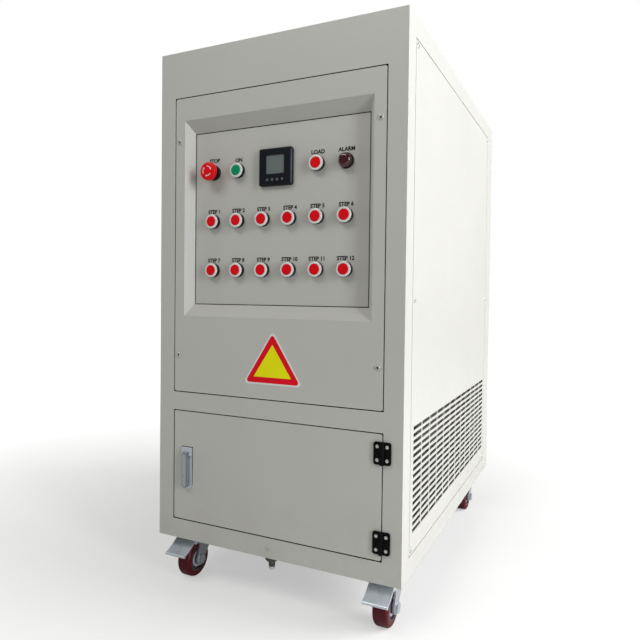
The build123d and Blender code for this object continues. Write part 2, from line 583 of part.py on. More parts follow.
def lock_plate():
    """The lock's face plate, round at its lower end, and the nut that holds it inside."""
    half = LOCK_W / 2
    low = LOCK_Z1 - LOCK_H
    plate = block((SPINDLE_X - half, SPINDLE_X + half), (-LOCK_T, 0), (low, LOCK_Z1))
    plate = fillet(plate.edges().filter_by(Axis.Y).group_by(Axis.Z)[0], half * 0.8)
    nut = rod_y(LOCK_NUT_R, SPINDLE_X, (SHEET, SHEET + LOCK_NUT_T), SPINDLE_Z)
    bore = (-LOCK_T, SHEET + LOCK_NUT_T)
    return [piece - rod_y(SPINDLE_R + SLIDE_GAP, SPINDLE_X, bore, SPINDLE_Z) for piece in (plate, nut)]


def lock_spindle():
    """The turning spindle: a forked head for the lever's pin, and the cam behind the door."""
    cam_y = (CAM_DEPTH, CAM_DEPTH + CAM_T)
    back_y = (LEVER_Y[1] - SPINDLE_BACK_T, LEVER_Y[1])
    cheek_x = LEVER_W / 2 + SLIDE_GAP
    z = (LEVER_PIN_Z - LEVER_T / 2, LEVER_PIN_Z + LEVER_T / 2)
    cheek = block((SPINDLE_X + cheek_x, SPINDLE_X + cheek_x + SPINDLE_CHEEK_T), LEVER_Y, z)
    back = block((SPINDLE_X - cheek_x, SPINDLE_X + cheek_x), back_y, z)
    stem = rod_y(SPINDLE_R, SPINDLE_X, (back_y[0], cam_y[1]), SPINDLE_Z)
    pin_x = (SPINDLE_X - cheek_x, SPINDLE_X + cheek_x)
    pin = rod_x(LEVER_PIN_R, pin_x, LEVER_Y[0] + LEVER_EYE_R, LEVER_PIN_Z)
    left = Pos(2 * SPINDLE_X, 0, 0) * cheek.mirror(Plane.YZ)
    return cheek + left + back + stem + pin + cam(SPINDLE_X, cam_y, SPINDLE_Z)


def cam(x, y, z):
    """A lock's cam, upright when the door is free."""
    return block((x - SPINDLE_R, x + SPINDLE_R), y, (z, z + CAM_L))


def lock_lever():
    """The lever that lies on the plate, lifts on its pin and turns the spindle."""
    half = LEVER_W / 2
    x = (SPINDLE_X - half, SPINDLE_X + half)
    lever = block(x, LEVER_Y, (LEVER_PIN_Z - LEVER_L, LEVER_PIN_Z))
    lever = fillet(lever.edges().filter_by(Axis.Y).group_by(Axis.Z)[0], half * 0.9)
    eye_y = LEVER_Y[0] + LEVER_EYE_R
    seat_y = (LEVER_Y[0] + 2 * LEVER_EYE_R, LEVER_Y[1])
    lever += rod_x(LEVER_EYE_R, x, eye_y, LEVER_PIN_Z)
    lever -= block(x, seat_y, (SPINDLE_Z - SPINDLE_R - SLIDE_GAP, LEVER_PIN_Z))
    return lever - rod_x(LEVER_PIN_R + PIN_FIT, x, eye_y, LEVER_PIN_Z)


def rear_door():
    """The rear door, with the exhaust grille over the resistors."""
    x = (-OPENING_X + DOOR_GAP, OPENING_X - DOOR_GAP)
    z = (REAR_DOOR_Z0 + DOOR_GAP, REAR_DOOR_Z1 - DOOR_GAP)
    height = z[1] - z[0]
    grille_h = SLOT_ROW * EXHAUST_ROWS
    middle = (0, height / 2 - EXHAUST_DOWN - grille_h / 2)
    sheet = slotted_sheet(x[1] - x[0], height, slot_grid(EXHAUST_COLUMNS, EXHAUST_ROWS, middle))
    upright = Pos(0, BODY_D, (z[0] + z[1]) / 2) * Rot(90, 0, 0)
    door = upright * sheet + flange_ring(x, (BODY_D - FLANGE, BODY_D - SHEET), z, "y")
    return door - rod_y(SPINDLE_R + SLIDE_GAP, SPINDLE_X, (BODY_D - SHEET, BODY_D), REAR_LATCH_Z)


def rear_latch():
    """The quarter-turn latch of the rear door: slotted head, spindle and cam."""
    head_y = (BODY_D + SLIDE_GAP, BODY_D + SLIDE_GAP + LATCH_HEAD_T)
    head = rod_y(LATCH_HEAD_R, SPINDLE_X, head_y, REAR_LATCH_Z)
    slot_x = (SPINDLE_X - LATCH_SLOT_W / 2, SPINDLE_X + LATCH_SLOT_W / 2)
    slot_z = (REAR_LATCH_Z - LATCH_SLOT_L / 2, REAR_LATCH_Z + LATCH_SLOT_L / 2)
    head -= block(slot_x, (head_y[1] - LATCH_SLOT_D, head_y[1]), slot_z)
    inner = BODY_D - CAM_DEPTH - CAM_T
    stem = rod_y(SPINDLE_R, SPINDLE_X, (inner, BODY_D + SLIDE_GAP), REAR_LATCH_Z)
    return head + stem + cam(SPINDLE_X, (inner, inner + CAM_T), REAR_LATCH_Z)


# ---------------------------------------------------------------- castors
def castor_plate(x, y):
    """A castor's top plate and upper race, with its four bolts."""
    half_w, half_l = CASTOR_PLATE_W / 2, CASTOR_PLATE_L / 2
    plate = block((x - half_w, x + half_w), (y - half_l, y + half_l), (-CASTOR_PLATE_T, 0))
    plate = fillet(plate.edges().filter_by(Axis.Z), CASTOR_PLATE_CORNER)
    race_z = (-CASTOR_PLATE_T - RACE_H, -CASTOR_PLATE_T)
    return plate + rod_z(RACE_R, x, y, race_z) - rod_z(KINGPIN_R + PIN_FIT, x, y, (race_z[0], 0))


def castor_bolts(x, y):
    """Four bolt heads under a castor's plate."""
    out_x = CASTOR_PLATE_W / 2 - CASTOR_BOLT_IN_X
    out_y = CASTOR_PLATE_L / 2 - CASTOR_BOLT_IN_Y
    head = extrude(RegularPolygon(CASTOR_BOLT_R, 6), CASTOR_BOLT_H)
    low = -CASTOR_PLATE_T - CASTOR_BOLT_H
    return [
        Pos(x + side_x * out_x, y + side_y * out_y, low) * head
        for side_x in (-1, 1) for side_y in (-1, 1)
    ]


def fork(x, y, crown_top):
    """A fork: crown, two cheeks that reach down to the axle, and the axle with its nuts."""
    inner, outer = FORK_OUT - FORK_T, FORK_OUT
    crown_z = (crown_top - CROWN_T, crown_top)
    crown = block((x - outer, x + outer), (y - RACE_R, y + RACE_R), crown_z)
    wheel_y = y - TRAIL
    side = Polyline((y - RACE_R, crown_top), (y + RACE_R, crown_top),
                    (wheel_y + FORK_BOSS_R, WHEEL_Z), (wheel_y - FORK_BOSS_R, WHEEL_Z), close=True)
    cheek = make_face(side) + Pos(wheel_y, WHEEL_Z) * Circle(FORK_BOSS_R)
    cheek = Pos(x + inner, 0, 0) * Rot(0, 0, 90) * Rot(90, 0, 0) * extrude(cheek, FORK_T)
    left = Pos(2 * x, 0, 0) * cheek.mirror(Plane.YZ)
    axle = rod_x(AXLE_R, (x - outer, x + outer), wheel_y, WHEEL_Z)
    head = rod_x(AXLE_HEAD_R, (x + outer, x + outer + AXLE_HEAD_T), wheel_y, WHEEL_Z)
    far_head = rod_x(AXLE_HEAD_R, (x - outer - AXLE_HEAD_T, x - outer), wheel_y, WHEEL_Z)
    return crown + cheek + left + axle + head + far_head


def swivel_fork(x, y):
    """A fork on its kingpin, with the pins of the brake pedal."""
    crown_top = -CASTOR_PLATE_T - RACE_H - SLIDE_GAP
    pin = rod_z(KINGPIN_R, x, y, (crown_top, -SLIDE_GAP))
    pivot_y, pivot_z = pedal_pivot(y)
    pins = rod_x(PEDAL_PIN_R, (x - PEDAL_OUT, x + PEDAL_OUT), pivot_y, pivot_z)
    return fork(x, y, crown_top) + pin + pins


def rigid_fork(x, y):
    """A rear castor's fixed fork, whose crown meets its race."""
    return fork(x, y, -CASTOR_PLATE_T - RACE_H)


def pedal_pivot(y):
    """Centre of the pedal's pin, above and ahead of the axle."""
    return (y - TRAIL + PEDAL_PIN_BACK, WHEEL_Z + WHEEL_R + PEDAL_PIN_UP)


def brake_pedal(x, y):
    """The brake pedal: cheeks on the fork's pin, a pad that slopes down and a rolled lip."""
    pivot_y, pivot_z = pedal_pivot(y)
    half = PEDAL_OUT
    over = [(PAD_ROOT, PAD_ROOT_UP), (PAD_BEND, PAD_BEND_UP), (PAD_KNEE, PAD_KNEE_UP), (PAD_END, PAD_END_UP)]
    under = [(out, up - PAD_T) for out, up in reversed(over)]
    outline = Polyline([(pivot_y - out, pivot_z + up) for out, up in over + under], close=True)
    pad = Pos(x - half, 0, 0) * Rot(0, 0, 90) * Rot(90, 0, 0) * extrude(make_face(outline), 2 * half)
    lip = rod_x(LIP_R, (x - half, x + half), pivot_y - PAD_END, pivot_z + PAD_END_UP - PAD_T / 2)
    arm_x = (x + half - PEDAL_T, x + half)
    arm_z = (pivot_z - PEDAL_ARM_H / 2, pivot_z + PEDAL_ARM_H / 2)
    arm = block(arm_x, (pivot_y - PEDAL_ARM_L, pivot_y), arm_z)
    arm += rod_x(PEDAL_EYE_R, arm_x, pivot_y, pivot_z)
    arm -= rod_x(PEDAL_PIN_R + PIN_FIT, arm_x, pivot_y, pivot_z)
    return pad + lip + arm + Pos(2 * x, 0, 0) * arm.mirror(Plane.YZ)


def wheel_parts(x, y):
    """A wheel's tread and its hub, both about the axle."""
    wheel_y = y - TRAIL
    half = WHEEL_W / 2
    tread = rod_x(WHEEL_R, (x - half, x + half), wheel_y, WHEEL_Z)
    tread = fillet(tread.edges().filter_by(GeomType.CIRCLE), TREAD_ROUND)
    tread -= rod_x(HUB_R, (x - half, x + half), wheel_y, WHEEL_Z)
    hub = rod_x(HUB_R, (x - half, x + half), wheel_y, WHEEL_Z)
    for side in (-1, 1):
        edge = x + side * half
        dish = sorted((edge, edge - side * HUB_DISH))
        hub -= rod_x(HUB_R - HUB_RIM, dish, wheel_y, WHEEL_Z) - rod_x(HUB_BOSS_R, dish, wheel_y, WHEEL_Z)
    return tread, hub - rod_x(AXLE_R + PIN_FIT, (x - half, x + half), wheel_y, WHEEL_Z)


# ---------------------------------------------------------------- inside
def bulkheads():
    """The wall behind the controls and the fan deck, with the fans' shrouds, motors and struts."""
    wall_z = (FLOOR_Z, PANEL_Z1)
    wall = block((-OPENING_X, OPENING_X), (BULKHEAD_Y, BULKHEAD_Y + SHEET), wall_z)
    deck_y = (BULKHEAD_Y + SHEET, BODY_D - RAIL_D)
    deck = block((-OPENING_X, OPENING_X), deck_y, (FAN_DECK_Z - SHEET, FAN_DECK_Z))
    pieces = [wall]
    mouth = FAN_R + FAN_GAP
    for y in FAN_Y:
        deck -= rod_z(mouth, 0, y, (FAN_DECK_Z - SHEET, FAN_DECK_Z))
        height = (FAN_DECK_Z, FAN_DECK_Z + SHROUD_H)
        shroud = rod_z(mouth + SHROUD_T, 0, y, height) - rod_z(mouth, 0, y, height)
        motor_z = (height[1] - STRUT_T, height[1] - STRUT_T + MOTOR_H)
        motor = rod_z(MOTOR_R, 0, y, motor_z)
        shaft = rod_z(FAN_SHAFT_R, 0, y, (FAN_Z - FAN_HUB_DOWN, motor_z[0]))
        strut_l = mouth - MOTOR_R
        for index in range(STRUTS):
            strut = Pos(MOTOR_R + strut_l / 2, 0, STRUT_T / 2) * Box(strut_l + SHROUD_T, STRUT_W, STRUT_T)
            strut = Pos(0, y, motor_z[0]) * Rot(0, 0, 360 * (index + 0.5) / STRUTS) * strut
            pieces.append(strut - motor - shroud)
        pieces += [shroud, motor, shaft]
    return [*pieces, deck]


def fan_rotor(y):
    """A fan's hub and its twisted blades."""
    rotor_z = (FAN_Z - FAN_HUB_DOWN, FAN_Z - FAN_HUB_DOWN + FAN_HUB_H)
    rotor = rod_z(FAN_HUB_R, 0, y, rotor_z)
    root = FAN_HUB_R - BLADE_ROOT
    middle = (rotor_z[0] + rotor_z[1]) / 2
    for blade in range(BLADES):
        vane = Rot(BLADE_TILT, 0, 0) * Box(FAN_R - root, BLADE_W, BLADE_T)
        vane = Pos((FAN_R + root) / 2, 0, 0) * vane
        rotor += Pos(0, y, middle) * Rot(0, 0, 360 * blade / BLADES) * vane
    return rotor - rod_z(FAN_SHAFT_R + FAN_FIT, 0, y, rotor_z)


def resistor_places():
    """Centres of the finned resistors, a grid over the fans."""
    low = FAN_DECK_Z + RESISTOR_UP
    return [
        (INSIDE_Y + RESISTOR_PITCH * (column - (RESISTOR_COLUMNS - 1) / 2), low + RESISTOR_PITCH * row)
        for row in range(RESISTOR_ROWS) for column in range(RESISTOR_COLUMNS)
    ]


def resistor_bank():
    """Finned tubular resistors across the cabinet."""
    half = OPENING_X - RACK_IN
    return [rod_x(RESISTOR_R, (-half, half), y, z) for y, z in resistor_places()]


def resistor_rack():
    """The end plates that carry the resistors, on legs that stand on the fan deck."""
    half = OPENING_X - RACK_IN
    places = resistor_places()
    edge = RESISTOR_PITCH / 2 + RACK_EDGE
    y = (min(p[0] for p in places) - edge, max(p[0] for p in places) + edge)
    z = (min(p[1] for p in places) - edge, max(p[1] for p in places) + edge)
    plate = block((half, half + RACK_T), y, z)
    foot_top = FAN_DECK_Z + RACK_T
    foot = block((half, OPENING_X - FOOT_GAP), y, (FAN_DECK_Z, foot_top))
    legs = [block((half, half + RACK_T), (at, at + LEG_W), (foot_top, z[0])) for at in (y[0], y[1] - LEG_W)]
    right = [plate, foot, *legs]
    return right + [mirrored(piece) for piece in right]


def switchgear():
    """The component plate with its rails, contactors and circuit breakers."""
    plate_y = (BULKHEAD_Y - GEAR_PLATE_T, BULKHEAD_Y)
    plate_z = (UPPER_Z0 + GEAR_PLATE_UP, UPPER_Z1 - GEAR_PLATE_DOWN)
    half = OPENING_X - GEAR_PLATE_IN
    rail_y = (plate_y[0] - DIN_RAIL_T, plate_y[0])
    rail_half = OPENING_X - DIN_RAIL_IN
    first = plate_z[0] + CONTACTOR_UP
    contactor_rows = (first, first + CONTACTOR_ROW_PITCH)
    breaker_row = plate_z[0] + BREAKER_UP
    pieces = [block((-half, half), plate_y, plate_z)]
    for z in (*contactor_rows, breaker_row):
        pieces.append(block((-rail_half, rail_half), rail_y, (z - DIN_RAIL_H / 2, z + DIN_RAIL_H / 2)))
    for z in contactor_rows:
        for x in spread(CONTACTOR_COUNT, CONTACTOR_PITCH):
            pieces.append(device(x, rail_y[0], z, CONTACTOR_W, CONTACTOR_H, CONTACTOR_L))
    toggle_y = (rail_y[0] - BREAKER_L - TOGGLE_L, rail_y[0] - BREAKER_L)
    for x in spread(BREAKER_COUNT, BREAKER_W + BREAKER_GAP):
        body = device(x, rail_y[0], breaker_row, BREAKER_W, BREAKER_H, BREAKER_L)
        toggle_x = (x - TOGGLE_W / 2, x + TOGGLE_W / 2)
        pieces.append(body + block(toggle_x, toggle_y, (breaker_row, breaker_row + TOGGLE_H)))
    return pieces


def spread(count, pitch):
    """Places of a row of like pieces about the middle."""
    return [pitch * (index - (count - 1) / 2) for index in range(count)]


def device(x, back, z, width, height, length):
    """A device's closed housing, standing out from its rail."""
    return block((x - width / 2, x + width / 2), (back - length, back), (z - height / 2, z + height / 2))


def terminal_x():
    return spread(TERMINAL_COUNT, TERMINAL_PITCH)


def terminal_board():
    """The insulating board with the copper bars and studs for the generator's cables."""
    y = (BULKHEAD_Y - BOARD_T, BULKHEAD_Y)
    z = (FLOOR_Z + BOARD_UP, FLOOR_Z + BOARD_UP + BOARD_H)
    pieces = [block((-BOARD_W / 2, BOARD_W / 2), y, z)]
    middle = (z[0] + z[1]) / 2
    for x in terminal_x():
        bar = block((x - BAR_W / 2, x + BAR_W / 2), (y[0] - BAR_T, y[0]), (z[0] + BAR_IN, z[1] - BAR_IN))
        pieces.append(bar + rod_y(TERMINAL_R, x, (y[0] - TERMINAL_L, y[0] - BAR_T), middle))
    return pieces


def main():
    os.makedirs("parts", exist_ok=True)
    save("cabinet_frame", *cabinet_frame())
    save("base_frame", *base_frame())
    right = side_panel()
    save("right_side_panel", right)
    save("left_side_panel", mirrored(right))
    save("upper_front_panel", upper_front_panel())
    save("control_plate", control_plate())
    save("panel_screws", *panel_screws(), earth_stud())

    places = list(BUTTONS.values())
    save("button_collars", *[collar(*at) for at in places], estop_collar())
    save("button_rings", *[ring(*at) for at in places])
    for name, at in BUTTONS.items():
        save(name, cap(*at))
    for number in range(METER_KEYS):
        save(f"meter_key_{number + 1}", meter_key(number))
    save("estop_stem", estop_stem())
    save("estop_head", estop_head())
    save("alarm_lamp", alarm_lamp())
    save("meter_case", meter_case())
    save("meter_screen", meter_screen())

    lower = hinge_heights(LOWER_Z0, LOWER_Z1)
    rear = hinge_heights(REAR_DOOR_Z0, REAR_DOOR_Z1)
    save("lower_door", lower_door())
    save("lower_door_hinges", *[door_leaf(z) for z in lower])
    save("rear_door", rear_door())
    save("rear_door_hinges", *[on_rear(door_leaf(z)) for z in rear])
    fixed = [frame_leaf(z) for z in lower] + [on_rear(frame_leaf(z)) for z in rear]
    save("hinge_frame_leaves", *fixed)
    save("lock_plate", *lock_plate())
    save("lock_spindle", lock_spindle())
    save("lock_lever", lock_lever())
    save("rear_latch", rear_latch())

    corners = [(side * CASTOR_X, y) for y in CASTOR_Y for side in (-1, 1)]
    plates = [castor_plate(*at) for at in corners]
    plates += [bolt for at in corners for bolt in castor_bolts(*at)]
    save("castor_plates", *plates, *[rigid_fork(*at) for at in corners[2:]])
    for side, at in zip(("left", "right"), corners[:2]):
        save(f"{side}_swivel_fork", swivel_fork(*at))
        save(f"{side}_brake_pedal", brake_pedal(*at))
    for name, at in zip(("front_left", "front_right", "rear_left", "rear_right"), corners):
        tread, hub = wheel_parts(*at)
        save(f"{name}_tread", tread)
        save(f"{name}_hub", hub)

    save("bulkheads", *bulkheads(), *resistor_rack())
    save("front_fan_rotor", fan_rotor(FAN_Y[0]))
    save("rear_fan_rotor", fan_rotor(FAN_Y[1]))
    save("resistor_bank", *resistor_bank())
    devices = [*places, ESTOP_AT, LAMP_AT]
    save("switchgear", *switchgear(), *[piece for at in devices for piece in device_rear(*at)])
    save("terminal_board", *terminal_board())


if __name__ == "__main__":
    main()
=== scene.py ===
"""Dresses the generator load bank: finishes, rounded edges, lettering, sign, painted gap shade,
screws, studio.

The CAD nodes give the places and the main forms. Lengths are in metres, written as so many MM.
"""
import json
import math

import bmesh
import bpy
from mathutils import Matrix, Vector

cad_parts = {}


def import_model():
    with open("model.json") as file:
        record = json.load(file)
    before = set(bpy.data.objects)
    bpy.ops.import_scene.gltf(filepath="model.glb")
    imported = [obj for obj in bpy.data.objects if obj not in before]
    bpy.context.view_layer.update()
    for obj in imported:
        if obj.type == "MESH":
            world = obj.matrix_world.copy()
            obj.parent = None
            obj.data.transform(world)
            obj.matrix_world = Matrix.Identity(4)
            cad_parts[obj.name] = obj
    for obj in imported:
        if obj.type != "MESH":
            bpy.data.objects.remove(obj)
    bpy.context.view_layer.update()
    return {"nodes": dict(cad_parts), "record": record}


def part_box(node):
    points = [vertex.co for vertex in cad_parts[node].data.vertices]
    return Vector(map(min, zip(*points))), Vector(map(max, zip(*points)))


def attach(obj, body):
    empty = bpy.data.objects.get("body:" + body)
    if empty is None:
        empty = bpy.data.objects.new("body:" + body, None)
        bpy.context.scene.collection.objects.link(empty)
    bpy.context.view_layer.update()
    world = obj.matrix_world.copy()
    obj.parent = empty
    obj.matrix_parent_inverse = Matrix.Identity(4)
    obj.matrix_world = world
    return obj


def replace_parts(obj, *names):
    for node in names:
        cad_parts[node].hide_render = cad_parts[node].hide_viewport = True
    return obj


MM = 0.001
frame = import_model()
nodes = frame["nodes"]
slots = {part["node"]: part["material_slot"] for part in frame["record"]["subparts"]}
body_of_node = {
    node: body for body, names in frame["record"]["behaviour"]["bodies"].items() for node in names
}


# ---------------------------------------------------------------- materials
class Nodes:
    """Short calls for building a node tree."""

    def __init__(self, material):
        material.use_nodes = True
        self.tree = material.node_tree
        self.shader = self.tree.nodes["Principled BSDF"]
        self.place = self.add("ShaderNodeTexCoord").outputs["Object"]

    def add(self, kind, **values):
        node = self.tree.nodes.new(kind)
        for name, value in values.items():
            setattr(node, name, value)
        return node

    def link(self, source, target):
        self.tree.links.new(source, target)

    def noise(self, scale, detail=3.0, stretch=(1, 1, 1), rough=0.5):
        moved = self.add("ShaderNodeMapping")
        moved.inputs["Scale"].default_value = stretch
        self.link(self.place, moved.inputs["Vector"])
        noise = self.add("ShaderNodeTexNoise")
        noise.inputs["Scale"].default_value = scale
        noise.inputs["Detail"].default_value = detail
        noise.inputs["Roughness"].default_value = rough
        self.link(moved.outputs["Vector"], noise.inputs["Vector"])
        return noise.outputs["Fac"]

    def spread(self, source, low, high, out_low, out_high):
        change = self.add("ShaderNodeMapRange")
        limits = {"From Min": low, "From Max": high, "To Min": out_low, "To Max": out_high}
        for name, value in limits.items():
            change.inputs[name].default_value = value
        self.link(source, change.inputs["Value"])
        return change.outputs["Result"]

    def mixed(self, factor, first, second):
        mix = self.add("ShaderNodeMix", data_type="RGBA")
        self.link(factor, mix.inputs["Factor"])
        for socket, value in ((mix.inputs[6], first), (mix.inputs[7], second)):
            if isinstance(value, bpy.types.NodeSocket):
                self.link(value, socket)
            else:
                socket.default_value = (*value, 1)
        return mix.outputs[2]

    def bump(self, height, depth_mm, strength=1.0, after=None):
        bump = self.add("ShaderNodeBump")
        bump.inputs["Strength"].default_value = strength
        bump.inputs["Distance"].default_value = depth_mm * MM
        self.link(height, bump.inputs["Height"])
        if after:
            self.link(after, bump.inputs["Normal"])
        return bump.outputs["Normal"]

    def finish(self, colour, roughness, normal):
        self.link(colour, self.shader.inputs["Base Color"])
        self.link(roughness, self.shader.inputs["Roughness"])
        self.link(normal, self.shader.inputs["Normal"])


def tint(colour, factor):
    return tuple(min(1.0, channel * factor) for channel in colour)


def surface(name, colour, roughness, metallic=0.0, grain=300, depth=0.02, vary=0.05, wear=0.5,
            worn=None, **sockets):
    """A finish with drifting colour, a fine grain, rubbed patches and hairline scratches.

    Grain is the texture's scale and depth its height in millimetres. Worn is the colour of the
    rubbed patches, and wear says how much of it shows.
    """
    material = bpy.data.materials.new(name)
    n = Nodes(material)
    n.shader.inputs["Metallic"].default_value = metallic
    for socket, value in sockets.items():
        n.shader.inputs[socket.replace("_", " ")].default_value = value
    drift = n.spread(n.noise(7), 0.3, 0.7, 0, 1)
    base = n.mixed(drift, tint(colour, 1 - vary), tint(colour, 1 + vary))
    rubbed = n.spread(n.noise(38, 6, rough=0.62), 0.60, 0.74, 0, wear * 0.5)
    base = n.mixed(rubbed, base, worn or tint(colour, 0.8))
    scratch = n.spread(n.noise(90, 2, (1, 1, 14)), 0.66, 0.70, 0, wear * 0.12)
    level = n.spread(n.noise(24, 4), 0.3, 0.7, roughness - 0.05, roughness + 0.07)
    roughened = n.add("ShaderNodeMath", operation="ADD")
    n.link(level, roughened.inputs[0])
    n.link(scratch, roughened.inputs[1])
    normal = n.bump(n.noise(grain, 2), depth)
    normal = n.bump(scratch, depth * 0.5, after=normal)
    n.finish(base, roughened.outputs[0], normal)
    return material


def powder_coat(name, colour, roughness=0.42):
    """Powder coat: specks, scuffs, grime low down and orange peel in two sizes."""
    material = bpy.data.materials.new(name)
    n = Nodes(material)
    drift = n.spread(n.noise(3.2, 4), 0.3, 0.7, 0, 1)
    base = n.mixed(drift, tint(colour, 0.975), tint(colour, 1.015))
    speck = n.spread(n.noise(420, 2), 0.70, 0.78, 0, 0.22)
    base = n.mixed(speck, base, tint(colour, 0.70))
    split = n.add("ShaderNodeSeparateXYZ")
    n.link(n.place, split.inputs[0])
    low = n.spread(split.outputs["Z"], 0.10, 0.26, 1, 0)
    grime = n.add("ShaderNodeMath", operation="MULTIPLY")
    n.link(low, grime.inputs[0])
    n.link(n.spread(n.noise(16, 6, rough=0.65), 0.42, 0.75, 0, 0.35), grime.inputs[1])
    base = n.mixed(grime.outputs[0], base, (0.42, 0.39, 0.34))
    scuff = n.spread(n.noise(55, 3, (1, 1, 9)), 0.68, 0.74, 0, 0.35)
    base = n.mixed(scuff, base, tint(colour, 0.88))
    level = n.spread(n.noise(60, 5), 0.3, 0.7, roughness - 0.05, roughness + 0.06)
    normal = n.bump(n.noise(330, 1), 0.07, 0.5)
    normal = n.bump(n.noise(1100, 1), 0.03, 0.4, normal)
    n.finish(base, level, normal)
    n.shader.inputs["Coat Weight"].default_value = 0.25
    n.shader.inputs["Coat Roughness"].default_value = 0.22
    return material


PAINT = (0.56, 0.555, 0.52)
finishes = {
    "cabinet_paint": powder_coat("cabinet_powder_coat", PAINT),
    "galvanised": surface("galvanised_sheet", (0.50, 0.51, 0.53), 0.38, metallic=1.0, grain=60,
                          vary=0.12, wear=0.6),
    "zinc": surface("zinc_plate", (0.60, 0.63, 0.67), 0.30, metallic=0.75, grain=240, vary=0.10,
                    wear=0.9, worn=(0.30, 0.28, 0.26)),
    "screw_steel": surface("nickel_plate", (0.68, 0.68, 0.67), 0.30, metallic=0.6, grain=500,
                           depth=0.01, vary=0.04),
    "black_plastic": surface("black_nylon", (0.008, 0.008, 0.009), 0.42, grain=900, vary=0.2,
                             wear=0.3, worn=(0.025, 0.025, 0.025), Specular_IOR_Level=0.25),
    "button_ring": surface("white_ring", (0.80, 0.80, 0.78), 0.16, grain=200, depth=0.004,
                           vary=0.02, wear=0.2, Coat_Weight=0.6),
    "cap_red": surface("red_cap", (0.80, 0.002, 0.008), 0.30, grain=260, depth=0.006, wear=0.2,
                       Specular_IOR_Level=0.25),
    "cap_green": surface("green_cap", (0.0, 0.30, 0.13), 0.30, grain=260, depth=0.006, wear=0.2,
                         Specular_IOR_Level=0.25),
    "lens_red": surface("lamp_lens", (0.050, 0.001, 0.004), 0.10, grain=120, depth=0.01, vary=0.1,
                        wear=0.2, Coat_Weight=1.0),
    "meter_black": surface("meter_case", (0.004, 0.006, 0.010), 0.34, grain=700, depth=0.012,
                           vary=0.15, wear=0.3, worn=(0.015, 0.016, 0.02),
                           Specular_IOR_Level=0.3),
    "meter_glass": surface("meter_window", (0.155, 0.185, 0.180), 0.12, grain=40, depth=0.003,
                           wear=0.15, Coat_Weight=1.0),
    "key_grey": surface("rubber_key", (0.10, 0.11, 0.12), 0.6, grain=900, vary=0.1, wear=0.4),
    "hinge_black": surface("hinge_paint", (0.004, 0.004, 0.0045), 0.42, grain=380, depth=0.03,
                           vary=0.2, wear=0.2, worn=(0.012, 0.012, 0.012),
                           Specular_IOR_Level=0.08),
    "tread_red": surface("red_tread", (0.085, 0.002, 0.007), 0.34, grain=260, depth=0.05,
                         vary=0.15, wear=0.9, worn=(0.04, 0.015, 0.015), Specular_IOR_Level=0.3),
    "hub_dark": surface("wheel_hub", (0.045, 0.038, 0.042), 0.45, grain=420, depth=0.03,
                        vary=0.15, wear=0.8, worn=(0.16, 0.14, 0.13)),
    "fan_black": surface("fan_nylon", (0.03, 0.03, 0.03), 0.5, grain=500, depth=0.03, vary=0.15,
                         wear=0.6),
    "resistor_alu": surface("resistor_fins", (0.16, 0.155, 0.15), 0.55, metallic=1.0, grain=200,
                            depth=0.06, vary=0.15, wear=0.8),
    "switchgear_grey": surface("switchgear", (0.09, 0.095, 0.10), 0.5, grain=600, vary=0.1,
                               wear=0.4),
    "terminal_copper": surface("tinned_copper", (0.46, 0.26, 0.16), 0.34, metallic=1.0, grain=200,
                               vary=0.1, wear=0.7),
}
ink = surface("label_ink", (0.008, 0.008, 0.010), 0.5, grain=800, depth=0.01, vary=0.1, wear=0.2,
              Specular_IOR_Level=0.2)
white_ink = surface("white_print", (0.78, 0.78, 0.77), 0.4, grain=500, depth=0.01, vary=0.02,
                    wear=0.3)
sign_red = surface("sign_red", (0.80, 0.003, 0.016), 0.33, grain=500, depth=0.01, wear=0.2,
                   Specular_IOR_Level=0.25)
sign_yellow = surface("sign_yellow", (0.90, 0.87, 0.002), 0.33, grain=500, depth=0.01, vary=0.04,
                      wear=0.15, Specular_IOR_Level=0.25)
# A darker copy of the cabinet's paint for the raised earth symbol: painted shade that shows its
# relief.
earth_symbol_shade_paint = powder_coat("earth_symbol_painted_shade", tint(PAINT, 0.72))
# Black for painted shade: the gaps around the doors, the lines around the control plate and the lock,
# and the screw sockets.
shade_black = surface("painted_shade_black", (0.005, 0.005, 0.005), 0.7, grain=700, depth=0.03, vary=0.2,
                 wear=0.2, Specular_IOR_Level=0.1)
dark_steel = surface("dark_steel", (0.09, 0.085, 0.075), 0.32, metallic=0.7, depth=0.03, vary=0.2,
                     wear=1.0, worn=(0.30, 0.29, 0.26))
bright_zinc = surface("bright_zinc", (0.74, 0.80, 0.86), 0.28, metallic=0.5, grain=160, vary=0.10,
                      wear=0.3, worn=(0.40, 0.42, 0.44))
plate_finish = surface("lock_plate_chrome", (0.70, 0.74, 0.82), 0.22, metallic=0.55, wear=0.6,
                       worn=(0.45, 0.46, 0.48))
lever_finish = surface("lever_casting", (0.30, 0.32, 0.35), 0.34, metallic=0.5, depth=0.03,
                       vary=0.08, wear=0.3, worn=(0.42, 0.42, 0.43))
lever_pad_finish = surface("lever_pad", (0.48, 0.51, 0.55), 0.28, metallic=0.5, depth=0.03,
                           vary=0.08, wear=0.3, worn=(0.42, 0.42, 0.43))


# ---------------------------------------------------------------- meshes
def new_object(name, mesh, material, body):
    obj = bpy.data.objects.new(name, mesh)
    bpy.context.scene.collection.objects.link(obj)
    mesh.materials.clear()
    mesh.materials.append(material)
    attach(obj, body)
    return obj


def smooth(mesh, degrees=35):
    """Smooth faces with edges sharper than the angle kept crisp."""
    bm = bmesh.new()
    bm.from_mesh(mesh)
    for face in bm.faces:
        face.smooth = True
    for edge in bm.edges:
        edge.smooth = edge.is_manifold and edge.calc_face_angle(0) < math.radians(degrees)
    bm.to_mesh(mesh)
    bm.free()


def piece(name, build, material, body):
    """A new piece from a function that fills a bmesh, in the part's frame."""
    bm = bmesh.new()
    build(bm)
    bmesh.ops.recalc_face_normals(bm, faces=bm.faces)
    mesh = bpy.data.meshes.new(name)
    bm.to_mesh(mesh)
    bm.free()
    smooth(mesh)
    return new_object(name, mesh, material, body)


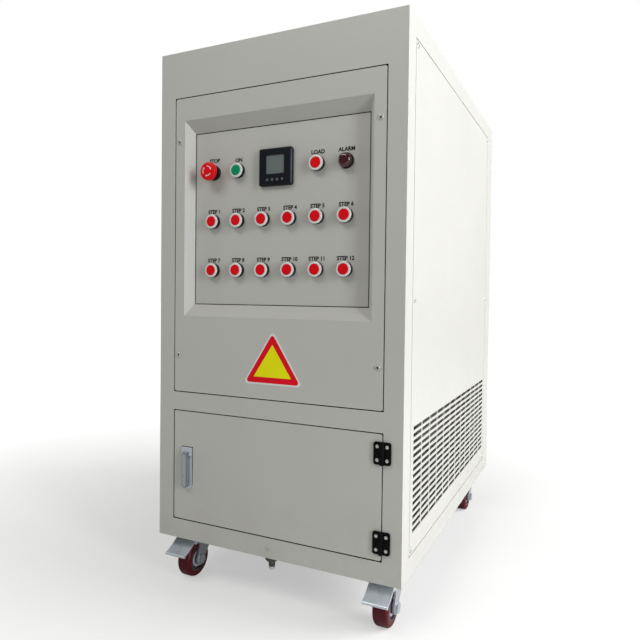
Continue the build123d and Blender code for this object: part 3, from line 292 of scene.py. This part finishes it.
def prism(bm, outline, y, height):
    """Extrudes an outline in x and z from y towards the viewer by height."""
    bottom = [bm.verts.new((x, y, z)) for x, z in outline]
    top = [bm.verts.new((x, y - height, z)) for x, z in outline]
    bm.faces.new(bottom)
    bm.faces.new(list(reversed(top)))
    count = len(outline)
    for i in range(count):
        j = (i + 1) % count
        bm.faces.new((bottom[j], bottom[i], top[i], top[j]))


def lathe(bm, origin, axis, profile, steps=40):
    """Turns (distance along the axis, radius) pairs about an axis through the origin given."""
    axis = Vector(axis).normalized()
    turn = Vector((0, 0, 1)).rotation_difference(axis).to_matrix()
    rings = []
    for along, radius in profile:
        ring = []
        for step in range(steps):
            angle = 2 * math.pi * step / steps
            local = Vector((radius * math.cos(angle), radius * math.sin(angle), along))
            ring.append(bm.verts.new(Vector(origin) + turn @ local))
        rings.append(ring)
    for first, second in zip(rings, rings[1:]):
        for step in range(steps):
            after = (step + 1) % steps
            bm.faces.new((first[step], first[after], second[after], second[step]))
    bm.faces.new(list(reversed(rings[0])))
    bm.faces.new(rings[-1])


def dress(name, bevel, segments=2, chosen=None):
    """Copies a CAD node with rounded edges and shows the copy in the node's place."""
    mesh = nodes[name].data.copy()
    bm = bmesh.new()
    bm.from_mesh(mesh)
    bmesh.ops.remove_doubles(bm, verts=bm.verts, dist=0.005 * MM)
    bmesh.ops.dissolve_limit(bm, angle_limit=math.radians(0.5), verts=bm.verts, edges=bm.edges)
    edges = [
        edge for edge in bm.edges
        if edge.is_manifold and edge.calc_face_angle(0) > math.radians(32)
        and (chosen is None or chosen(edge))
    ]
    if edges:
        bmesh.ops.bevel(bm, geom=edges, offset=bevel * MM, offset_type="OFFSET", segments=segments,
                        profile=0.5, affect="EDGES", clamp_overlap=True)
    bm.to_mesh(mesh)
    bm.free()
    smooth(mesh, 30)
    obj = new_object("dressed_" + name, mesh, finishes[slots[name]], body_of_node[name])
    normals = obj.modifiers.new("normals", "WEIGHTED_NORMAL")
    normals.keep_sharp = True
    normals.weight = 100
    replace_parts(obj, name)


def box_at(bm, x, y, z):
    """A box between two limits along each axis."""
    middle = ((x[0] + x[1]) / 2, (y[0] + y[1]) / 2, (z[0] + z[1]) / 2)
    size = (x[1] - x[0], y[1] - y[0], z[1] - z[0])
    bmesh.ops.create_cube(bm, size=1, matrix=Matrix.Translation(middle) @ Matrix.Diagonal((*size, 1)))


def box_ring(bm, x, y, z, wide):
    """Four bars that frame a rectangle from within its outline."""
    for side in ((x[0], x[0] + wide), (x[1] - wide, x[1])):
        box_at(bm, side, y, z)
    for end in ((z[0], z[0] + wide), (z[1] - wide, z[1])):
        box_at(bm, x, y, end)


def disc(bm, middle, outline, steps):
    """Turns (distance, radius) pairs in millimetres about an axis towards the viewer."""
    lathe(bm, middle, (0, -1, 0), [(out * MM, radius * MM) for out, radius in outline], steps)


def pill(bm, middle, half_width, low, high, y, height, steps=10):
    """A round-ended upright bar, standing out from y towards the viewer."""
    outline = []
    for end, start in ((high - half_width, 0), (low + half_width, 180)):
        for step in range(steps + 1):
            angle = math.radians(start + 180 * step / steps)
            outline.append((middle + half_width * math.cos(angle), end + half_width * math.sin(angle)))
    prism(bm, outline, y, height)


def centre(name):
    low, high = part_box(name)
    return (low + high) / 2


front_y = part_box("upper_front_panel")[0].y
body_low, body_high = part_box("cabinet_frame")
plate_low, plate_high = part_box("control_plate")
plate_y = plate_low.y


# ---------------------------------------------------------------- rounded edges and finishes
def outer_corner(edge):
    """An edge of the cabinet's outside: a vertical corner or the top's rim."""
    def outside(point):
        across = abs(abs(point.x) - body_high.x) < 0.01 * MM
        along = min(abs(point.y - body_low.y), abs(point.y - body_high.y)) < 0.01 * MM
        top = abs(point.z - body_high.z) < 0.01 * MM
        return across, along, top
    first, second = (outside(vert.co) for vert in edge.verts)
    shared = [a and b for a, b in zip(first, second)]
    return sum(shared) >= 2


dress("cabinet_frame", 1.4, 3, outer_corner)
for name, bevel in (
    ("upper_front_panel", 1.0), ("lower_door", 1.0), ("rear_door", 0.5), ("control_plate", 0.4),
    ("left_side_panel", 0.4), ("right_side_panel", 0.4), ("lock_plate", 0.6), ("lock_spindle", 0.3),
    ("lower_door_hinges", 0.6), ("rear_door_hinges", 0.6), ("hinge_frame_leaves", 0.6),
    ("castor_plates", 0.6), ("left_swivel_fork", 0.8), ("right_swivel_fork", 0.8),
    ("left_brake_pedal", 0.8), ("right_brake_pedal", 0.8), ("base_frame", 0.8),
):
    dress(name, bevel)
for name, obj in nodes.items():
    if obj.data.materials:
        obj.data.materials[0] = finishes[slots[name]]
    else:
        obj.data.materials.append(finishes[slots[name]])
for name, material in (("lock_plate", plate_finish), ("lock_spindle", plate_finish),
                       ("left_brake_pedal", bright_zinc), ("right_brake_pedal", bright_zinc)):
    bpy.data.objects["dressed_" + name].data.materials[0] = material

LEVER_HALF_W = 7 * MM
CHEEK_GAP = 0.1 * MM      # from the lever's side to the first point that is lowered
CHEEK_SUNK = 5.5 * MM


def lower_cheeks(name):
    """Lowers the spindle's ears beside the lever, so that the lever stands out between them."""
    low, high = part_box(name)
    middle = (low.x + high.x) / 2
    for vert in bpy.data.objects["dressed_" + name].data.vertices:
        if abs(vert.co.x - middle) > LEVER_HALF_W + CHEEK_GAP:
            vert.co.y = max(vert.co.y, low.y + CHEEK_SUNK)


lower_cheeks("lock_spindle")


# ---------------------------------------------------------------- words and numbers
LABEL_UP = 20.5 * MM          # from a button's middle to its label's middle
TOP_ROW_EXTRA = 1.5 * MM      # the top row's labels sit this much higher
STOP_EXTRA = 3 * MM           # and the one over the wide red head higher still
LETTER_HEIGHT, LETTER_T, LETTER_BOLD, LETTER_OUT = 7.6 * MM, 0.05 * MM, 0.42 * MM, 0.06 * MM
SIZE_PER_HEIGHT = 1.36        # font size over the height of its capitals


def letter_mesh(text):
    """One label as a thin mesh that lies in the XY plane."""
    curve = bpy.data.curves.new("label", "FONT")
    curve.body = text
    curve.size = LETTER_HEIGHT * SIZE_PER_HEIGHT
    curve.align_x = "CENTER"
    curve.extrude = LETTER_T
    curve.offset = LETTER_BOLD
    curve.resolution_u = 3
    letters = bpy.data.objects.new("label", curve)
    bpy.context.scene.collection.objects.link(letters)
    bpy.context.view_layer.update()
    depsgraph = bpy.context.evaluated_depsgraph_get()
    mesh = bpy.data.meshes.new_from_object(letters.evaluated_get(depsgraph))
    bpy.data.objects.remove(letters)
    return mesh


def lettering(name, words, material):
    """Labels on the control plate as one piece, from (text, x, z) of each label's middle."""
    joined = bmesh.new()
    for text, x, z in words:
        flat = letter_mesh(text)
        place = Matrix.Translation((x, plate_y - LETTER_OUT, z - LETTER_HEIGHT / 2))
        flat.transform(place @ Matrix.Rotation(math.pi / 2, 4, "X"))
        joined.from_mesh(flat)
        bpy.data.meshes.remove(flat)
    mesh = bpy.data.meshes.new(name)
    joined.to_mesh(mesh)
    joined.free()
    return new_object(name, mesh, material, "cabinet")


words = []
for number in range(1, 13):
    at = centre(f"step_button_{number:02d}")
    words.append((f"STEP {number}", at.x, at.z + LABEL_UP))
top_row = centre("power_button").z + LABEL_UP + TOP_ROW_EXTRA
words.append(("STOP", centre("estop_head").x, top_row + STOP_EXTRA))
for node, text in (("power_button", "ON"), ("load_button", "LOAD"), ("alarm_lamp", "ALARM")):
    words.append((text, centre(node).x, top_row))
lettering("panel_lettering", words, ink)


# ---------------------------------------------------------------- bare sign
SIGN_X = 5 * MM               # from the middle of the front
SIGN_UP = 334 * MM            # from the underside of the body to the sign's lower edge


def rounded_triangle(cx, base_z, width, height, radius, steps=8):
    """Outline of an upright triangle with rounded corners."""
    left = Vector((cx - width / 2, base_z))
    right = Vector((cx + width / 2, base_z))
    corners = [left, right, Vector((cx, base_z + height))]
    outline = []
    for index, corner in enumerate(corners):
        to_last = (corners[index - 1] - corner).normalized()
        to_next = (corners[(index + 1) % 3] - corner).normalized()
        half = to_last.angle(to_next) / 2
        pivot = corner + (to_last + to_next).normalized() * radius / math.sin(half)
        first = math.atan2(to_last.x, -to_last.y)
        turn = math.pi - 2 * half
        for step in range(steps + 1):
            angle = first + turn * step / steps
            outline.append((pivot.x + radius * math.cos(angle), pivot.y + radius * math.sin(angle)))
    return outline


def sign_layer(name, width, height, up, corner, thick, material):
    """One layer of the sign, its sizes in millimetres."""
    base = body_low.z + SIGN_UP + up * MM
    outline = rounded_triangle(SIGN_X, base, width * MM, height * MM, corner * MM)
    piece(name, lambda bm: prism(bm, outline, front_y, thick * MM), material, "cabinet")


sign_layer("plate_sign_white", width=131, height=104.5, up=0, corner=6, thick=0.5, material=white_ink)
sign_layer("plate_sign_red", width=119.5, height=95, up=3.4, corner=4.8, thick=0.6, material=sign_red)
sign_layer("plate_sign_yellow", width=82, height=63, up=14.6, corner=0.8, thick=0.7,
           material=sign_yellow)


# ---------------------------------------------------------------- earth mark, nut and a painted shade line
MARK_UP = 20 * MM             # from the underside of the body
MARK_PROFILE = ((-0.2, 7.0), (0.35, 7.0), (0.5, 6.6))
BARS = ((4.0, 0.0), (2.7, -1.9), (1.3, -3.8))    # half width and top of each, in millimetres
BAR_OUT, BAR_H, STEM_HALF_W, STEM_H = 0.7 * MM, 0.8 * MM, 0.4 * MM, 4.6 * MM
PLATE_LAP = 12 * MM           # the control plate's rim, which lies behind the recess
# the width and standing of the painted shade line around the control plate
PLATE_SHADE_W, PLATE_SHADE_OUT = 1.3 * MM, 0.5 * MM


def earth_mark(bm):
    """The small round plate over the earth stud."""
    disc(bm, (0, front_y, body_low.z + MARK_UP), MARK_PROFILE, 40)


def earth_bars(bm):
    """The earth symbol: a stem over three bars that get shorter."""
    z = body_low.z + MARK_UP
    y = (front_y - BAR_OUT, front_y)
    for half, top in BARS:
        box_at(bm, (-half * MM, half * MM), y, (z + top * MM - BAR_H, z + top * MM))
    box_at(bm, (-STEM_HALF_W, STEM_HALF_W), y, (z, z + STEM_H))


def plate_shade_ring(bm):
    """A dark line of painted shade between the recess and the control plate."""
    x = (plate_low.x + PLATE_LAP, plate_high.x - PLATE_LAP)
    z = (plate_low.z + PLATE_LAP, plate_high.z - PLATE_LAP)
    box_ring(bm, x, (plate_y - PLATE_SHADE_OUT, plate_y), z, PLATE_SHADE_W)


piece("earth_disc", earth_mark, finishes["cabinet_paint"], "cabinet")
# The symbol in the darker paint, as painted shade.
piece("earth_symbol", earth_bars, earth_symbol_shade_paint, "cabinet")
piece("plate_painted_shade", plate_shade_ring, shade_black, "cabinet")


# ---------------------------------------------------------------- lock
lever_low, lever_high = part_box("lock_lever")
lever_x = (lever_low.x + lever_high.x) / 2
lever_split = lever_low.y + 6 * MM    # the full-length front part meets the shorter back part here
BACK_DOWN, BACK_LAP = 12 * MM, 0.2 * MM    # the back part's top below the lever's, and its overlap
FACE_IN, FACE_T = 0.8 * MM, 1.6 * MM       # the lever's narrower face with its pad
PAD_IN, PAD_HALF_W, PAD_T = 2.8 * MM, 4.3 * MM, 0.6 * MM
LOCK_RIM, LOCK_SHADE_T = 0.9 * MM, 0.5 * MM
NUT_BACK = 15 * MM                         # the earth bolt's axis, behind the front
NUT_PROFILE = ((0.2, 11.6), (1.2, 12.8), (8.2, 12.8), (9.2, 11.4))
BOLT_PROFILE = ((9.0, 6.3), (19.0, 6.3), (25.9, 4.6))


def lever_form(bm):
    """The lever's round-ended body: a front part, a shorter back part and a narrower face."""
    low, high = lever_low.z, lever_high.z
    face_y = lever_low.y + FACE_T
    pill(bm, lever_x, LEVER_HALF_W, low, high, lever_split, lever_split - face_y)
    depth = lever_high.y - lever_split + BACK_LAP
    pill(bm, lever_x, LEVER_HALF_W, low, high - BACK_DOWN, lever_high.y, depth)
    face_half_w = LEVER_HALF_W - FACE_IN
    pill(bm, lever_x, face_half_w, low + FACE_IN, high - FACE_IN, face_y, FACE_T - PAD_T)


def lever_pad(bm):
    """The raised pad along the lever's front."""
    low, high = lever_low.z + PAD_IN, lever_high.z - PAD_IN
    pill(bm, lever_x, PAD_HALF_W, low, high, lever_low.y + PAD_T, PAD_T)


def lock_shade_outline(bm):
    """A black sheet that shows as a dark line around the lock's plate: painted shade at the plate's
    edge.
    """
    low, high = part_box("lock_plate")
    middle = (low.x + high.x) / 2
    half = (high.x - low.x) / 2 + LOCK_RIM
    pill(bm, middle, half, low.z - LOCK_RIM, high.z, front_y, LOCK_SHADE_T)
    y = (front_y - LOCK_SHADE_T, front_y)
    box_at(bm, (middle - half, middle + half), y, (low.z + half, high.z + LOCK_RIM))


def earth_nut(bm):
    """The earth stud's hexagon nut and the bolt's tapered end."""
    for profile, steps in ((NUT_PROFILE, 6), (BOLT_PROFILE, 24)):
        outline = [(along * MM, radius * MM) for along, radius in profile]
        lathe(bm, (0, front_y + NUT_BACK, body_low.z), (0, 0, -1), outline, steps)


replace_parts(piece("lever_form", lever_form, lever_finish, "lock_lever"), "lock_lever")
piece("lever_pad", lever_pad, lever_pad_finish, "lock_lever")
# Painted shade around the lock's plate.
piece("lock_shade_outline", lock_shade_outline, shade_black, "lower_door")
piece("earth_nut", earth_nut, dark_steel, "cabinet")


# ---------------------------------------------------------------- painted shade in the door gaps
GAP_SHADE_REACH, GAP_SHADE_W = 1.95 * MM, 1.6 * MM    # across the gap around a door
GAP_SHADE_SUNK, GAP_SHADE_DEEP = 0.5 * MM, 7 * MM     # from the door's face to the two edges of the black strip of painted shade


def gap_shade_strip(node, wall):
    """A black strip on the frame's side of the gap around a door or panel, as painted shade in the
    gap.
    """
    low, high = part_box(node)
    y = (low.y + GAP_SHADE_SUNK, low.y + GAP_SHADE_DEEP)
    if wall > 0:
        y = (high.y - GAP_SHADE_DEEP, high.y - GAP_SHADE_SUNK)
    x = (low.x - GAP_SHADE_REACH, high.x + GAP_SHADE_REACH)
    z = (low.z - GAP_SHADE_REACH, high.z + GAP_SHADE_REACH)
    return lambda bm: box_ring(bm, x, y, z, GAP_SHADE_W)


# Black strips that paint the shade in the gaps around the doors and the front panel.
for node, wall in (("upper_front_panel", -1), ("lower_door", -1), ("rear_door", 1)):
    piece(node + "_gap_shade", gap_shade_strip(node, wall), shade_black, "cabinet")


# ---------------------------------------------------------------- control details
ARROW_R, ARROW_W, ARROW_T, ARROW_SUNK = 9.5 * MM, 1.5 * MM, 0.15 * MM, 0.02 * MM
ARROW_SWEEP, ARROW_STEPS = -62, 14    # degrees of the arc before the arrow's point
TIP_SWEEP = 1.32                      # where the point ends, over the sweep
BARB_W = 1.4                          # the point's half width, over the arc's width
METER_RIM, METER_RIM_D = 1.6 * MM, 1.2 * MM


def arc_arrow(bm, middle, y, start):
    """A curved arrow on a flat face, seen from the front."""
    def at(radius, degrees):
        angle = math.radians(degrees)
        return (middle.x + radius * math.cos(angle), middle.z + radius * math.sin(angle))
    turns = [start + ARROW_SWEEP * step / ARROW_STEPS for step in range(ARROW_STEPS + 1)]
    inner = [at(ARROW_R - ARROW_W / 2, turn) for turn in turns]
    outer = [at(ARROW_R + ARROW_W / 2, turn) for turn in reversed(turns)]
    prism(bm, inner + outer, y, ARROW_T)
    end, tip = start + ARROW_SWEEP, start + ARROW_SWEEP * TIP_SWEEP
    barb = ARROW_W * BARB_W
    prism(bm, [at(ARROW_R - barb, end), at(ARROW_R, tip), at(ARROW_R + barb, end)], y, ARROW_T)


def estop_arrows(bm):
    """Three arrows that show which way the red head turns."""
    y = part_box("estop_head")[0].y + ARROW_SUNK
    for start in (90, 210, 330):
        arc_arrow(bm, centre("estop_head"), y, start)


def meter_rim(bm):
    """The frame around the meter's window."""
    low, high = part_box("meter_screen")
    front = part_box("meter_case")[0].y
    box_ring(bm, (low.x, high.x), (front, front + METER_RIM_D), (low.z, high.z), METER_RIM)


piece("estop_arrows", estop_arrows, white_ink, "estop_head")
piece("meter_rim", meter_rim, finishes["meter_black"], "cabinet")


# ---------------------------------------------------------------- screws and lamp
LEAF_T, LEAF_SCREW_IN = 3.5 * MM, 7 * MM            # a leaf's thickness, and its edge to its screws
HINGE_HALF_H, LEAF_SCREW_LIFT = 20 * MM, 12 * MM    # half a hinge, and its middle to its screws
LEAF_SCREW = ((-0.5, 3.1), (0.35, 3.1), (0.75, 2.4), (0.9, 1.4))
SOCKET_X, SOCKETS_UP, SOCKET_SHADE_OUT = 216.75 * MM, (381 * MM, 816.5 * MM), 0.7 * MM
# The dark disc that paints the shade in a socket.
SOCKET_SHADE_PROFILE = ((0, 2.0), (0.5, 1.9))
BEZEL_PROFILE = ((14.5, 0.0), (14.5, 4.6), (14.0, 5.2), (13.1, 5.2), (13.1, 0.0))    # radius first
door_low, door_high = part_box("lower_door_hinges")
rear_low, rear_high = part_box("rear_door_hinges")
leaf_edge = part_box("hinge_frame_leaves")[1].x


def leaf_screws(name, low, high, x, y, out, body):
    """Two raised screw heads on one leaf of each of a door's two hinges."""
    profile = [(along * MM, radius * MM) for along, radius in LEAF_SCREW]

    def build(bm):
        for middle in (low.z + HINGE_HALF_H, high.z - HINGE_HALF_H):
            for lift in (-LEAF_SCREW_LIFT, LEAF_SCREW_LIFT):
                lathe(bm, (x, y, middle + lift), (0, out, 0), profile, 24)
    piece(name, build, finishes["screw_steel"], body)


for wall, low, high, y, out, door in (
    ("front", door_low, door_high, front_y - LEAF_T, -1, "lower_door"),
    ("rear", rear_low, rear_high, body_high.y + LEAF_T, 1, "rear_door"),
):
    leaf_screws(wall + "_door_leaf_screws", low, high, low.x + LEAF_SCREW_IN, y, out, door)
    leaf_screws(wall + "_frame_leaf_screws", low, high, leaf_edge - LEAF_SCREW_IN, y, out, "cabinet")


def socket_shade_discs(bm):
    """Dark discs in the heads of the four front screws: painted shade in their sockets."""
    for x in (-SOCKET_X, SOCKET_X):
        for up in SOCKETS_UP:
            disc(bm, (x, front_y - SOCKET_SHADE_OUT, body_low.z + up), SOCKET_SHADE_PROFILE, 16)


def lamp_bezel(bm):
    """The black ring around the lamp's foot."""
    at = centre("alarm_lamp")
    steps = 40
    rings = []
    for radius, out in BEZEL_PROFILE:
        ring = []
        for step in range(steps):
            angle = 2 * math.pi * step / steps
            x = at.x + radius * MM * math.cos(angle)
            z = at.z + radius * MM * math.sin(angle)
            ring.append(bm.verts.new((x, plate_y - out * MM, z)))
        rings.append(ring)
    for first, second in zip(rings, rings[1:] + rings[:1]):
        for step in range(steps):
            after = (step + 1) % steps
            bm.faces.new((first[step], first[after], second[after], second[step]))


piece("front_screw_socket_shade", socket_shade_discs, shade_black, "cabinet")
piece("lamp_bezel", lamp_bezel, finishes["black_plastic"], "cabinet")


# ---------------------------------------------------------------- wheels
HUB_DISH = 4.9 * MM           # from a hub's face to its dished bottom
WEB = ((0, 21.5), (1.2, 21.3), (1.6, 19.0), (0.9, 17.0), (0.9, 12.2))
GREASE_RING = ((0.6, 17.4), (2.4, 17.0), (2.4, 12.3))


def hub_piece(name, wheel, side, profile, material):
    """A turned piece in the dish of a wheel's hub, on the side given."""
    low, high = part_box(wheel + "_hub")
    at = (low + high) / 2
    at.x = high.x - HUB_DISH if side > 0 else low.x + HUB_DISH
    outline = [(along * MM, radius * MM) for along, radius in profile]
    piece(name, lambda bm: lathe(bm, at, (side, 0, 0), outline), material, wheel + "_wheel")


for wheel in ("front_left", "front_right", "rear_left", "rear_right"):
    for side, word in ((-1, "inner"), (1, "outer")):
        hub_piece(f"{wheel}_{word}_web", wheel, side, WEB, finishes["hub_dark"])
        hub_piece(f"{wheel}_{word}_ring", wheel, side, GREASE_RING, bright_zinc)


# ---------------------------------------------------------------- studio
FLOOR_HALF = 30
NEAR, FAR, NEAR_GLOW, FAR_GLOW = 0.5, 2.4, 0.42, 1.0    # the floor glows to white with distance
AMBIENT = 0.15
SENSOR_W, FOCAL_LENGTH = 36, 33.43                      # millimetres of the camera itself
SHIFT_X, SHIFT_Y = 0.0136, -0.0192
PITCH, ROLL, HEADING = -1.2536, -0.6396, 25.9508        # degrees
CAMERA_X, CAMERA_AHEAD, CAMERA_UP = 0.56483, 0.98391, 0.50769    # off the front's lower middle
LIGHTS = (    # name, place, target, width, height, watts and colour
    ("right_window", (3.4, 0.9, 1.9), (0.2, 0.2, 0.6), 2.6, 2.6, 185, (1, 1, 1)),
    ("right_front", (3.2, -1.7, 1.3), (0, -0.4, 0.6), 0.8, 2.4, 58, (0.95, 0.975, 1)),
    ("front_top", (-0.9, -2.6, 3.2), (0, -0.3, 0.6), 2.2, 1.2, 40, (1, 0.985, 0.93)),
    ("left_window", (-3.0, -1.0, 1.2), (0, -0.2, 0.7), 0.9, 2.2, 16, (0.93, 0.97, 1)),
)


def floor():
    """A pale floor that fades to the white background."""
    bm = bmesh.new()
    bmesh.ops.create_grid(bm, x_segments=1, y_segments=1, size=FLOOR_HALF)
    mesh = bpy.data.meshes.new("floor")
    bm.to_mesh(mesh)
    bm.free()
    obj = bpy.data.objects.new("floor", mesh)
    bpy.context.scene.collection.objects.link(obj)
    material = bpy.data.materials.new("floor_paper")
    n = Nodes(material)
    shade = n.mixed(n.spread(n.noise(2), 0.3, 0.7, 0, 1), (0.50, 0.50, 0.49), (0.53, 0.53, 0.52))
    level = n.spread(n.noise(30), 0.3, 0.7, 0.75, 0.85)
    n.finish(shade, level, n.bump(n.noise(200), 0.05))
    distance = n.add("ShaderNodeVectorMath", operation="LENGTH")
    n.link(n.place, distance.inputs[0])
    glow = n.spread(distance.outputs["Value"], NEAR, FAR, NEAR_GLOW, FAR_GLOW)
    seen = n.add("ShaderNodeMath", operation="MULTIPLY")
    n.link(glow, seen.inputs[0])
    n.link(n.add("ShaderNodeLightPath").outputs["Is Camera Ray"], seen.inputs[1])
    n.shader.inputs["Emission Color"].default_value = (1, 1, 1, 1)
    n.link(seen.outputs[0], n.shader.inputs["Emission Strength"])
    mesh.materials.append(material)


def area_light(name, place, target, width, height, watts, colour):
    """A lit rectangle that faces its target."""
    light = bpy.data.lights.new(name, "AREA")
    light.shape = "RECTANGLE"
    light.size, light.size_y = width, height
    light.energy = watts
    light.color = colour
    obj = bpy.data.objects.new(name, light)
    bpy.context.scene.collection.objects.link(obj)
    obj.location = place
    obj.rotation_euler = (Vector(target) - Vector(place)).to_track_quat("-Z", "Y").to_euler()


def world():
    """Dim even light, with a white background in the camera's sight."""
    scene_world = bpy.data.worlds.new("studio")
    scene_world.use_nodes = True
    tree = scene_world.node_tree
    tree.nodes.clear()
    path = tree.nodes.new("ShaderNodeLightPath")
    ambient = tree.nodes.new("ShaderNodeBackground")
    ambient.inputs["Color"].default_value = (0.97, 0.98, 1.0, 1)
    ambient.inputs["Strength"].default_value = AMBIENT
    white = tree.nodes.new("ShaderNodeBackground")
    white.inputs["Color"].default_value = (1, 1, 1, 1)
    white.inputs["Strength"].default_value = 1.0
    mix = tree.nodes.new("ShaderNodeMixShader")
    out = tree.nodes.new("ShaderNodeOutputWorld")
    tree.links.new(path.outputs["Is Camera Ray"], mix.inputs[0])
    tree.links.new(ambient.outputs[0], mix.inputs[1])
    tree.links.new(white.outputs[0], mix.inputs[2])
    tree.links.new(mix.outputs[0], out.inputs["Surface"])
    bpy.context.scene.world = scene_world


def camera():
    """The camera, in front of the cabinet, to its right and about half-way up."""
    lens = bpy.data.cameras.new("camera")
    lens.sensor_width = SENSOR_W
    lens.lens = FOCAL_LENGTH
    lens.shift_x, lens.shift_y = SHIFT_X, SHIFT_Y
    obj = bpy.data.objects.new("camera", lens)
    bpy.context.scene.collection.objects.link(obj)
    turn = Matrix.Identity(3)
    for angle, axis in ((HEADING, "Z"), (ROLL, "Y"), (PITCH, "X")):
        turn = turn @ Matrix.Rotation(math.radians(angle), 3, axis)
    right, forward, up = (turn.col[i] for i in range(3))
    place = Matrix((right, up, -forward)).transposed().to_4x4()
    place.translation = Vector((CAMERA_X, front_y - CAMERA_AHEAD, body_low.z + CAMERA_UP))
    obj.matrix_world = place
    bpy.context.scene.camera = obj


floor()
world()
for light in LIGHTS:
    area_light(*light)
camera()
bpy.context.scene.view_settings.view_transform = "Standard"
